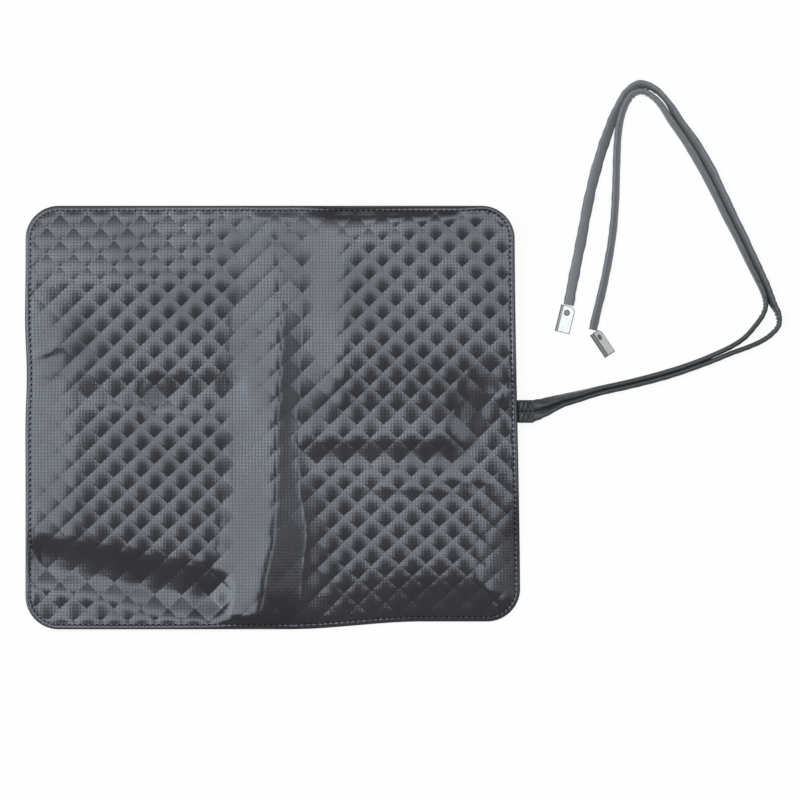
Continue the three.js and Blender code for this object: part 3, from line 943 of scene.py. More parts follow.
@dataclass
class OuterCover:
    """The embossed cover sheet, its sewn rim and its row of stitches."""

    shape: BagShape
    leather: bpy.types.Material
    thread: bpy.types.Material
    diamonds: Diamonds = field(default_factory=Diamonds)
    top: float = 9.6
    lip: float = 6.0
    field_inset: float = 3.1
    field_fade: float = 4.2
    level_fade: float = 1.8
    # Where the sheet stays level up to the rim: beside the straps, at the far right and the left corners
    strap_side: tuple[Ramp, Ramp, Ramp] = (Ramp(122.0, 12.0), Ramp(-104.0, 20.0), Ramp(118.0, -14.0))
    far_right: tuple[Ramp, Ramp] = (Ramp(70.0, 30.0), Ramp(0.0, 60.0))
    far_right_level: float = 0.6
    left_corners: tuple[Ramp, Ramp] = (Ramp(0.0, -20.0), Ramp(0.0, 60.0))
    left_level: float = 0.8
    stitch_inset: float = 2.8
    stitch_pitch: float = 3.2
    stitch_length: float = 2.1
    stitch_width: float = 0.8
    stitch_height: float = 0.1
    pull_depth: float = 0.22
    pull_reach: float = 0.55
    shoulder: float = 1.0
    stations_per_stitch: int = 6
    spine_reach: float = 14.6
    turned_edge: float = 6.0

    def build(self) -> list[bpy.types.Object]:
        """Builds the field of diamonds, the rim and the stitches.

        Returns:
            The three pieces.
        """
        pieces = [self._field(), self._rim(), self._stitches()]
        for piece in pieces:
            spine_blend(piece, self.spine_reach)
        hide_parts(*[f"outer_cover_{side.word}" for side in Side])
        for piece in pieces[:2]:
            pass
        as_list(pieces[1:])
        return pieces

    def _field(self) -> bpy.types.Object:
        """Builds the embossed sheet, woven along the lattice and trimmed under the rim.

        Returns:
            The piece.
        """
        lattice, shape = self.diamonds, self.shape
        reach = int((shape.width / lattice.width + shape.length / lattice.length) / 2) + 2
        middle = round(-lattice.corner_y / lattice.length)
        shift = round(-lattice.corner_x / lattice.width)
        lines = [whole + part for whole in range(-reach, reach) for part in lattice.lines] + [reach]
        count = len(lines) - 1

        def place(u: float, v: float) -> Place:
            """The flat place of a crossing of two lines, from the shares of the lines before it."""
            a, b = lines[round(u * count)] + middle + shift, lines[round(v * count)] + middle - shift
            return *lattice.place(a, b), 0.0

        sheet = mapped_grid(count, count, place)
        trim_to_outline(sheet, shape, self.field_inset)
        places = []
        for vertex in sheet.verts:
            x, y = vertex.co.x, vertex.co.y
            places.append((x * MM, y * MM, 0.0))
            level = self._level(x, y)
            fade = blend_values(self.field_fade, self.level_fade, level)
            edge = smooth((shape.outline(x, y) - self.field_inset) / fade)
            loft = blend_values(level * lattice.mean_height, lattice.height(x, y), edge)
            vertex.co = shape.place(x, y, self.top, loft * shape.embossing(x, y))
        return finished("embossed_cover", sheet, self.leather, places)

    def _level(self, x: float, y: float) -> float:
        """How far the sheet keeps the pillows' mean height up to the rim, so that no dip runs along it.

        Args:
            x: The flat place to the right, in millimetres.
            y: The flat place towards the flaps' edge, in millimetres.

        Returns:
            The share kept: all of it beside the straps, part of it at the far right and the left corners.
        """
        inwards, near, far = self.strap_side
        beside = inwards.at(x) * near.at(y) * far.at(y)
        far_right = self.far_right_level * self.far_right[0].at(x) * self.far_right[1].at(y)
        left = self.left_level * self.left_corners[0].at(x) * self.left_corners[1].at(abs(y))
        return max(beside, far_right, left)

    def _rim_lift(self, x: float, y: float) -> float:
        """How far the rim stands above the sheet's base at a place."""
        return self._level(x, y) * self.diamonds.mean_height * self.shape.embossing(x, y)

    def _station_count(self) -> tuple[int, int]:
        """Counts what runs round the rim.

        Returns:
            The number of stitches, and the number of stations that the rim has.
        """
        around = 2 * (self.shape.width + self.shape.length) - (8 - 2 * math.pi) * self.shape.corner
        stitches = round(around / self.stitch_pitch)
        return stitches, stitches * self.stations_per_stitch

    def _rim_profile(self) -> list[Spot]:
        """Draws the rim's section, from the seam over the edge and back under the lining.

        Returns:
            The inset and the height of each point.
        """
        top, lip = self.top, self.lip
        over = [(3.7, top - 0.35), (3.4, top - 0.03), (3.2, top + 0.03), (2.8, top - 0.1), (2.4, top + 0.03),
                (1.8, top + 0.08), (1.0, top + 0.08), (0.45, top - 0.04), (0.12, top - 0.36)]
        under = [(0.0, top - 1.2), (0.1, lip + 0.5), (0.5, lip - 0.1), (1.2, lip - 0.35), (3.0, lip - 0.4),
                 (5.5, lip - 0.3), (5.5, lip + 0.1)]
        return over + under

    def _rim(self) -> bpy.types.Object:
        """Builds the turned edge: a rounded band, pulled down at each stitch, that turns under the lining.

        Returns:
            The piece.
        """
        shape, profile = self.shape, self._rim_profile()
        _, count = self._station_count()
        rings = [shape.rim_stations(inset, count) for inset, _ in profile]
        shoulder = self.lip + self.shoulder
        pulls = [math.exp(-((inset - self.stitch_inset) / self.pull_reach) ** 2) if z > shoulder else 0.0
                 for inset, z in profile]

        def place(u: float, v: float) -> Place:
            """The real place of a row of the profile at a station.

            Args:
                u: The share of the way along the first direction.
                v: The share of the way along the second direction.

            Returns:
                The place in metres.
            """
            station, row = round(u * count) % count, round(v * len(profile)) % len(profile)
            x, y, _, _ = rings[row][station]
            beat = 0.5 + 0.5 * math.cos(2 * math.pi * station / self.stations_per_stitch)
            raised = smooth((profile[row][1] - shoulder) / (self.top - self.lip - 1.5 * self.shoulder))
            loft = self._rim_lift(x, y) * raised - self.pull_depth * pulls[row] * beat
            return shape.place(x, y, profile[row][1], loft)

        sheet = mapped_grid(count, len(profile), place, closed=True)
        bmesh.ops.recalc_face_normals(sheet, faces=sheet.faces)
        return finished("cover_rim", sheet, self.leather)

    def _stitches(self) -> bpy.types.Object:
        """Builds the row of short stitches that sinks into the rim.

        Returns:
            The piece.
        """
        shape = self.shape
        stitches, _ = self._station_count()
        half_length, half_width = self.stitch_length / 2 * MM, self.stitch_width / 2 * MM
        rows = bmesh.new()
        for x, y, out_x, out_y in shape.rim_stations(self.stitch_inset, stitches * 2)[1::2]:
            centre = Vector(shape.place(x, y, self.top, self.stitch_height + self._rim_lift(x, y)))
            heading = Matrix.Rotation(math.atan2(out_x, -out_y), 4, "Z")
            size = Matrix.Diagonal((half_length, half_width, half_width, 1.0))
            bmesh.ops.create_uvsphere(rows, u_segments=6, v_segments=5, radius=1.0,
                                      matrix=Matrix.Translation(centre) @ heading @ size)
        return finished("rim_stitches", rows, self.thread)


@dataclass
class SoftSheet:
    """A plain sheet of the bag's inside that runs across the fold: its heights and inset."""

    name: str
    low: float
    high: float
    inset: float
    spine_reach: float
    slot: str
    nodes: tuple[str, ...]
    fill: float | None = None
    step: float = 4.0

    def build(self, shape: BagShape, material: bpy.types.Material) -> bpy.types.Object:
        """Builds the closed sheet.

        Args:
            shape: The bag's lie.
            material: The sheet's material.

        Returns:
            The piece.
        """
        columns, rows = round(shape.width / self.step), round(shape.length / self.step)
        sheet = mapped_grid(columns, rows, lambda u, v: (
            (u - 0.5) * shape.width, (v - 0.5) * shape.length, 0.0))
        trim_to_outline(sheet, shape, self.inset)
        raised = set(doubled(sheet))
        places = []
        for vertex in sheet.verts:
            x, y = vertex.co.x, vertex.co.y
            places.append((x * MM, y * MM, 0.0))
            vertex.co = shape.place(x, y, self.high if vertex in raised else self.low)
        bmesh.ops.recalc_face_normals(sheet, faces=sheet.faces)
        piece = finished(self.name, sheet, material, places, creased=math.radians(50))
        spine_blend(piece, self.spine_reach)
        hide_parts(*self.nodes)
        return piece


@dataclass
class BrushPockets:
    """The pleated sheets that make the brush pockets, in millimetres."""

    shape: BagShape
    material: bpy.types.Material
    sheet: float = 0.6
    room: float = 4.9
    seam: float = 1.4
    slope: float = 4.0
    foot_seam: float = 6.0
    foot_taper: float = 10.0
    mouth: float = 5.0
    sag: float = 0.12
    sag_x: float = 11.0
    sag_y: float = 9.0
    pockets: int = 5
    column: float = 0.8
    row: float = 2.4

    def _bulge(self, x: float, spans: list[list[float]]) -> float:
        """How far the sheet stands up over a pocket.

        Args:
            x: The place across the half, in millimetres.
            spans: Where each pocket starts and ends.

        Returns:
            The share of the room that the pocket takes, 0 at a seam.
        """
        for low, high in spans:
            if low <= x <= high:
                return smooth((min(x - low, high - x) - self.seam) / self.slope)
        return 0.0

    def build(self, side: Side) -> bpy.types.Object:
        """Builds one half's sheet from the boxes of its pocket nodes.

        Args:
            side: The half.

        Returns:
            The piece.
        """
        nodes = [f"brush_pocket_{side.word}_{number}" for number in range(1, self.pockets + 1)]
        spans = sorted(sorted(box_sides(node)[:2]) for node in nodes)
        foot = box_sides(nodes[0])[2]
        start, end = spans[0][0], spans[-1][1]
        length = self.mouth - foot

        def place(u: float, v: float) -> Place:
            """The real place of a point of the sheet's lower layer.

            Args:
                u: The share of the way along the first direction.
                v: The share of the way along the second direction.

            Returns:
                The place in metres.
            """
            x, y = blend_values(start, end, u), foot + length * v
            full = self._bulge(x, spans) * smooth((y - foot - self.foot_seam) / self.foot_taper)
            sag = self.sag * math.sin(y / self.sag_y + x / self.sag_x) * full
            return self.shape.place(x, y, self.room * (1.0 - full) + abs(sag))

        columns, rows = round((end - start) / self.column), round(length / self.row)
        sheet = mapped_grid(columns, rows, place)
        for vertex in doubled(sheet):
            vertex.co.z += self.sheet * MM
        bmesh.ops.recalc_face_normals(sheet, faces=sheet.faces)
        piece = finished(f"pocket_sheet_{side.word}", sheet, self.material, creased=math.radians(60))
        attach(piece, side.leaf)
        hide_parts(*nodes)
        heights = [self.room * (1.0 - self._bulge(blend_values(start, end, column / columns), spans))
                   for column in range(columns + 1)]
        breadth = sum(math.hypot((end - start) / columns, after - before)
                      for before, after in zip(heights, heights[1:]))
        return piece


@dataclass
class CoverFlap:
    """One soft flap over the brush heads, with a turned hem, in millimetres."""

    shape: BagShape
    material: bpy.types.Material
    sheet: float = 0.6
    hem: float = 0.2
    hem_length: float = 6.5
    hem_slope: float = 0.8
    corner: float = 9.0
    outer_cut: float = 13.0
    wave: float = 0.18
    wave_x: float = 13.0
    wave_y: float = 21.0
    wave_bend: float = 0.4
    calm_x: float = 50.0
    calm_y: float = 20.0
    columns: int = 90
    rows: int = 72

    def build(self, side: Side) -> bpy.types.Object:
        """Builds the flap in the space of its solid.

        Args:
            side: The half.

        Returns:
            The piece.
        """
        node = f"brush_flap_{side.word}"
        x0, x1, y0, y1, _, _ = box_sides(node)

        def outline(u: float, v: float) -> Spot:
            """The flat place, with the free corners rounded and the outer end of the seam cut off.

            Args:
                u: The share of the way across.
                v: The share of the way to the seam.

            Returns:
                The place in millimetres.
            """
            x = blend_values(x0, x1, u)
            edge = min(x - x0, x1 - x, self.corner)
            drop = self.corner - math.sqrt(max(self.corner ** 2 - (self.corner - edge) ** 2, 0.0))
            outer = (x1 - x) if side is Side.RIGHT else (x - x0)
            return x, min(blend_values(y0 + drop, y1, v), y1 - max(self.outer_cut - outer, 0.0))

        def place(u: float, v: float) -> Place:
            """The real place of a point of the flap's lower face, with waves that calm towards the seam.

            Args:
                u: The share of the way along the first direction.
                v: The share of the way along the second direction.

            Returns:
                The place in metres.
            """
            x, y = outline(u, v)
            wave = 1.0 + math.sin(x / self.wave_x + self.wave_bend * math.sin(y / self.wave_y))
            loft = self.wave * wave * smooth(abs(x) / self.calm_x) * smooth((y1 - y) / self.calm_y)
            return self.shape.place(x, y, 0.0, loft)

        flap = mapped_grid(self.columns, self.rows, place)
        for vertex in doubled(flap):
            x, y = vertex.co.x / MM, vertex.co.y / MM
            hem = self.hem * smooth((y0 + self.hem_length - y) / self.hem_slope)
            vertex.co.z += (self.sheet * self.shape.settle(x, y) + hem) * MM
        bmesh.ops.recalc_face_normals(flap, faces=flap.faces)
        piece = finished(f"cover_flap_{side.word}", flap, self.material, creased=math.radians(60))
        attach(piece, side.flap)
        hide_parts(node)
        return piece


@dataclass
class FlapSeam:
    """The strip of cloth that carries a flap, sewn under the lining and down to it, in millimetres."""

    shape: BagShape
    material: bpy.types.Material
    cloth: float = 0.7
    bend: float = 0.6
    inner_bend: float = 0.4
    clear: float = 0.9
    columns: int = 60

    def build(self, side: Side) -> bpy.types.Object:
        """Builds the strip in the space of its solid, clear of the flap when that is turned back.

        Args:
            side: The half.

        Returns:
            The piece.
        """
        node = f"flap_seam_strip_{side.word}"
        x0, x1, y0, y1, z0, z1 = box_sides(node)
        inner_y, inner_z = y1 - self.cloth, z1 - self.cloth
        profile = [(y0, z1), (y1 - self.bend, z1), (y1, z1 - self.bend), (y1, z0), (inner_y, z0),
                   (inner_y, inner_z - self.inner_bend), (inner_y - self.inner_bend, inner_z), (y0, inner_z)]

        def place(u: float, v: float) -> Place:
            """The real place of a row of the profile, held above the turned flap.

            Args:
                u: The share of the way along the first direction.
                v: The share of the way along the second direction.

            Returns:
                The place in metres.
            """
            y, z = profile[round(v * len(profile)) % len(profile)]
            real_x, real_y, real_z = self.shape.place(blend_values(x0, x1, u), y, z)
            return real_x, real_y, max(real_z, self.clear * MM)

        strip = mapped_grid(self.columns, len(profile), place, closed=True)
        close_tube(strip)
        piece = finished(f"flap_seam_{side.word}", strip, self.material, creased=math.radians(50))
        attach(piece, side.leaf)
        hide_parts(node)
        return piece


def route_point(route: list[Vector], share: float) -> tuple[Vector, Vector]:
    """A point of a smooth curve through the route, and the direction there.

    Args:
        route: The points that the curve passes through.
        share: Where on the curve, from 0 to 1.

    Returns:
        The point and the unit direction.
    """
    spans = len(route) - 1
    span = min(int(share * spans), spans - 1)
    t = share * spans - span
    p1, p2 = route[span], route[span + 1]
    p0 = route[span - 1] if span else p1 * 2 - p2
    p3 = route[span + 2] if span + 2 < len(route) else p2 * 2 - p1
    first, second, third = p2 - p0, 2 * p0 - 5 * p1 + 4 * p2 - p3, 3 * p1 - p0 - 3 * p2 + p3
    point = 0.5 * (2 * p1 + first * t + second * t * t + third * t ** 3)
    heading = 0.5 * (first + 2 * second * t + 3 * third * t * t)
    return point, heading.normalized()


@dataclass(frozen=True)
class Turn:
    """How far a strap has turned about its length at a share of the way along it."""

    share: float
    degrees: float


@dataclass(frozen=True)
class Waver:
    """A gentle wave along a length: its size, its pace in radians per millimetre, and where it starts."""

    size: float
    pace: float
    start: float = 0.0

    def at(self, along: float, share: float = 1.0) -> float:
        """The wave at a length along, with a share of its start."""
        return self.size * math.sin(along * self.pace + self.start * share)


@dataclass(frozen=True)
class StrapSection:
    """How a strap stands at one step of its route: its middle, its own axes and how it bends there."""

    centre: Vector
    across: Vector
    face: Vector
    inward: Vector
    bend: float


@dataclass
class TieStrap:
    """A narrow leather strap that twists along its route: flat at the bag, on edge along its run."""

    name: str
    node: str
    route: list[Place]
    turns: list[Turn]
    material: bpy.types.Material
    width: float = 6.0
    thickness: float = 2.9
    steps: int = 1300
    sides: int = 24
    wide_power: float = 0.6
    thick_power: float = 0.75
    floor_gap: float = 0.05
    deepest_drop: float = 1.2
    bend_window: int = 15
    crush_gain: float = 16.0
    crush_from: float = 0.25
    bump_pitch: float = 4.3
    bump_height: float = 0.62
    bump_middle: float = 0.64
    groove_at: float = 0.27
    groove_depth: float = 0.16
    groove_width: float = 0.35
    width_wave: Waver = Waver(0.04, 0.41)
    width_ripple: Waver = Waver(0.03, 0.93, 1.0)
    face_wave: Waver = Waver(0.05, 0.9)
    face_share: float = 0.4
    bump_wander: Waver = Waver(0.7, 0.23)
    # Where along the strap the painted light starts and becomes full, and every how many steps it is marked
    painted_light_from: float = 0.3
    painted_light_to: float = 0.62
    painted_light_step: int = 20

    def _turn(self, share: float) -> float:
        """How far the strap has twisted.

        Args:
            share: The share of the way along the strap.

        Returns:
            The twist, in radians.
        """
        for before, after in zip(self.turns, self.turns[1:]):
            if share <= after.share:
                part = smooth((share - before.share) / (after.share - before.share))
                return math.radians(blend_values(before.degrees, after.degrees, part))
        return math.radians(self.turns[-1].degrees)

    def _bend(self, points: list[Vector], index: int) -> float:
        """How sharply the route turns at a step.

        Args:
            points: The route's points, one for each step.
            index: The step.

        Returns:
            The turn, in radians per millimetre, with its sign.
        """
        before = points[max(index - self.bend_window, 0)]
        after = points[min(index + self.bend_window, len(points) - 1)]
        a, b = points[index] - before, after - points[index]
        if a.length == 0 or b.length == 0:
            return 0.0
        angle = math.atan2(a.x * b.y - a.y * b.x, a.x * b.x + a.y * b.y)
        return angle / ((a.length + b.length) / 2 / MM)

    def _paint_light(self, piece: bpy.types.Object, points: list[Vector]) -> None:
        """Marks where the strap's colour is painted: left dark at the bag as painted shade, painted paler
        over its far half as painted light.

        Args:
            piece: The strap.
            points: The route's points, one for each step.
        """
        stretch = self.painted_light_to - self.painted_light_from
        layer = piece.data.attributes.new("painted_light", "FLOAT", "POINT")
        marks = [(point, smooth((step / len(points) - self.painted_light_from) / stretch))
                 for step, point in enumerate(points) if step % self.painted_light_step == 0]
        for index, vertex in enumerate(piece.data.vertices):
            layer.data[index].value = min(marks, key=lambda mark: (mark[0] - vertex.co).length_squared)[1]

    def _sections(self, samples: list[tuple[Vector, Vector]]) -> list[StrapSection]:
        """Works out how the strap stands at each step, lowered until it nearly lies on the floor.

        Args:
            samples: The route's point and direction at each step.

        Returns:
            The sections.
        """
        points = [point for point, _ in samples]
        sections = []
        for step, (point, heading) in enumerate(samples):
            side = Vector((-heading.y, heading.x, 0.0)).normalized()
            up = heading.cross(side) * -1.0
            turn = self._turn(step / self.steps)
            across = side * math.cos(turn) + up * math.sin(turn)
            face = up * math.cos(turn) - side * math.sin(turn)
            half_height = abs(across.z) * self.width / 2 + abs(face.z) * self.thickness / 2
            resting = half_height * MM + self.floor_gap * MM
            height = min(point.z, max(resting, point.z - self.deepest_drop * MM))
            bend = self._bend(points, step)
            sections.append(StrapSection(Vector((point.x, point.y, height)), across, face,
                                         side * math.copysign(1.0, bend), bend))
        return sections

    def _surface(self, section: StrapSection, angle: float, along: float) -> Place:
        """A place on the strap's skin: a full flat section with a groove, uneven and crushed where it bends.

        Args:
            section: How the strap stands there.
            angle: The place round the section, in radians.
            along: The length from the bag, in millimetres.

        Returns:
            The place in metres.
        """
        cos, sin = math.cos(angle), math.sin(angle)
        wide = fuller(cos, self.wide_power) * self.width / 2
        thick = fuller(sin, self.thick_power) * self.thickness / 2
        wide *= 1.0 + self.width_wave.at(along) + self.width_ripple.at(along)
        groove = math.exp(-((wide - self.width * self.groove_at) / self.groove_width) ** 2)
        thick -= self.groove_depth * groove * (1.0 if sin > 0 else 0.0)
        thick += self.face_wave.at(along) * (self.face_share + (1.0 - self.face_share) * sin)
        offset = section.across * wide + section.face * thick
        crush = smooth(abs(section.bend) * self.crush_gain - self.crush_from)
        inner = max(offset.dot(section.inward) / (self.thickness / 2), 0.0)
        beat = math.sin(along * math.pi / self.bump_pitch + self.bump_wander.at(along))
        bump = self.bump_height * crush * min(inner, 1.0) * (abs(beat) - self.bump_middle)
        return tuple(section.centre + (offset + section.inward * bump) * MM)

    def build(self, with_pieces: list[bpy.types.Object]) -> bpy.types.Object:
        """Args:
            with_pieces: The strap's sleeve, tag and rivet; it is not used.

        Returns:
            The piece.
        """
        route = [Vector(point) for point in self.route]
        samples = [route_point(route, step / self.steps) for step in range(self.steps + 1)]
        points = [point for point, _ in samples]
        length = sum((b - a).length for a, b in zip(points, points[1:]))
        sections = self._sections(samples)

        def place(u: float, v: float) -> Place:
            """The real place of a corner of the strap's grid."""
            angle = 2 * math.pi * (round(u * self.sides) % self.sides) / self.sides
            return self._surface(sections[round(v * self.steps)], angle, v * length / MM)

        strap = mapped_grid(self.sides, self.steps, place, closed=True)
        close_tube(strap)
        piece = finished(self.name, strap, self.material, creased=math.radians(55))
        # Marks the painted light over the strap's far half
        self._paint_light(piece, points)
        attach(piece, Side.RIGHT.leaf)
        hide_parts(self.node)
        tuple(self.route[0])
        [tuple(section.centre) for section in sections]
        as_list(with_pieces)
        log.info("%s is %.3f m long", self.name, length)
        return piece


@dataclass
class StrapRoot:
    """The crimped sleeve that gathers a strap where it enters the rim, in millimetres."""

    name: str
    node: str
    material: bpy.types.Material
    shape: BagShape
    middle: float = 6.5
    start_inset: float = 4.0
    overhang: float = 2.4
    pinch: Ramp = Ramp(139.0, 3.0)
    pinch_spread: float = 0.42
    flat_half: float = 0.55
    pinched_half: float = 1.45
    long_fold: Waver = Waver(0.36, 2.9, 2.2)
    short_fold: Waver = Waver(0.2, 5.3, -3.0)
    wide_power: float = 0.5
    thick_power: float = 0.7
    mouth_taper: float = 0.35
    mouth_from: float = 1.0
    mouth_run: float = 1.4
    sides: int = 24
    rows: int = 60

    def build(self) -> bpy.types.Object:
        """Builds the sleeve in the space of its solid, drooped like the rim beside it.

        Returns:
            The piece.
        """
        x0, x1, y0, y1, _, _ = box_sides(self.node)
        middle_y, half = (y0 + y1) / 2, (y1 - y0) / 2

        def place(u: float, v: float) -> Place:
            """The real place of a corner of the sleeve's grid.

            Args:
                u: The share of the way along the first direction.
                v: The share of the way along the second direction.

            Returns:
                The place in metres.
            """
            angle = 2 * math.pi * (round(u * self.sides) % self.sides) / self.sides
            along = blend_values(x0 + self.start_inset, x1 + self.overhang, v)
            cos, sin = math.cos(angle), math.sin(angle)
            pinch = self.pinch.at(along)
            fold = self.long_fold.at(along, cos) + self.short_fold.at(along, cos)
            wide = fuller(cos, self.wide_power) * (half + self.pinch_spread * pinch)
            deep = blend_values(self.flat_half, self.pinched_half, pinch) + fold * pinch
            thick = fuller(sin, self.thick_power) * deep
            thick *= 1.0 - self.mouth_taper * smooth((along - x1 - self.mouth_from) / self.mouth_run)
            return self.shape.place(along, middle_y + wide, self.middle, thick)

        sleeve = mapped_grid(self.sides, self.rows, place, closed=True)
        close_tube(sleeve)
        piece = finished(self.name, sleeve, self.material, creased=math.radians(60))
        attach(piece, Side.RIGHT.leaf)
        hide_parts(self.node)
        return piece


@dataclass
class MetalTags:
    """The folded tags and their rivets: the real solids with eased edges, and a darker metal painted as shade
    on the edges, the sides and a thin border of the top face; the rivets are wholly in the darker metal.
    """

    material: bpy.types.Material
    shade_material: bpy.types.Material
    easing: float = 0.28
    # How wide a ring of the top face takes the darker metal: a painted shade line along its edge
    shade_border: float = 0.45
    flat_angle: float = math.radians(2)
    sharp_angle: float = math.radians(35)
    level_gap: float = 0.05
    facing: float = 0.99

    def build(self, end: str) -> list[bpy.types.Object]:
        """Builds one strap end's tag and rivet.

        Args:
            end: Which strap, inner or outer.

        Returns:
            The tag and the rivet.
        """
        return [self._eased(f"strap_tag_{end}", f"end_tag_{end}", self.easing),
                self._eased(f"tag_rivet_{end}", f"end_rivet_{end}", self.easing / 2)]

    def _shown(self, solid: bmesh.types.BMesh) -> list[bmesh.types.BMFace]:
        """The faces of a solid that lie level with its largest upward face.

        Args:
            solid: The tag or the rivet.

        Returns:
            The faces.
        """
        top = max((face for face in solid.faces if face.normal.z > 0), key=lambda face: face.calc_area())
        plate, level = top.normal.copy(), top.normal.dot(top.calc_center_median())
        return [face for face in solid.faces if face.normal.dot(plate) > self.facing
                and abs(face.calc_center_median().dot(plate) - level) < self.level_gap * MM]

    def _eased(self, node: str, name: str, width: float) -> bpy.types.Object:
        """Copies a solid, merges it into large faces and bevels it along its edges.

        Args:
            node: The solid's node.
            name: The name of the piece.
            width: How far the edges are cut back, in millimetres.

        Returns:
            The piece.
        """
        solid = bmesh.new()
        solid.from_mesh(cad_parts[node].data)
        bmesh.ops.remove_doubles(solid, verts=solid.verts, dist=SOLID_GAP)
        bmesh.ops.dissolve_limit(solid, angle_limit=self.flat_angle, verts=solid.verts, edges=solid.edges)
        sharp = [edge for edge in solid.edges if len(edge.link_faces) == 2
                 and edge.calc_face_angle() > self.sharp_angle]
        bmesh.ops.bevel(solid, geom=sharp, offset=width * MM, offset_type="OFFSET", affect="EDGES",
                        segments=1, profile=0.5, material=-1, clamp_overlap=True)
        shown = self._shown(solid)
        rivet = node.startswith("tag_rivet")
        if not rivet:
            bmesh.ops.inset_region(solid, faces=shown, thickness=self.shade_border * MM, use_boundary=True,
                                   use_even_offset=True)
        for face in solid.faces:
            # Painted shade: the edges, the sides and the border ring take the darker metal, and so does the
            # whole rivet
            face.material_index = int(rivet or face not in shown)
        piece = finished(name, solid, self.material, creased=math.radians(12))
        piece.data.materials.append(self.shade_material)
        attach(piece, Side.RIGHT.leaf)
        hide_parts(node)
        return piece


@dataclass(frozen=True)
class Bank:
    """A flat light overhead that fills a window of slopes, as seen from the bag, with an even glow."""

    name: str
    west: float
    east: float
    south: float
    north: float
    radiance: float
    color: Color = (0.93, 0.965, 1.0)

    def hang(self, height: float) -> None:
        """Hangs the light level over the bag.

        Args:
            height: The height, in metres, which sets the light's size and power.
        """
        data = bpy.data.lights.new(self.name, "AREA")
        data.shape = "RECTANGLE"
        data.size, data.size_y = (self.east - self.west) * height, (self.north - self.south) * height
        data.energy = self.radiance * math.pi * data.size * data.size_y
        data.color = self.color
        lamp = bpy.data.objects.new(self.name, data)
        lamp.location = ((self.west + self.east) / 2 * height, (self.south + self.north) / 2 * height, height)
        bpy.context.scene.collection.objects.link(lamp)


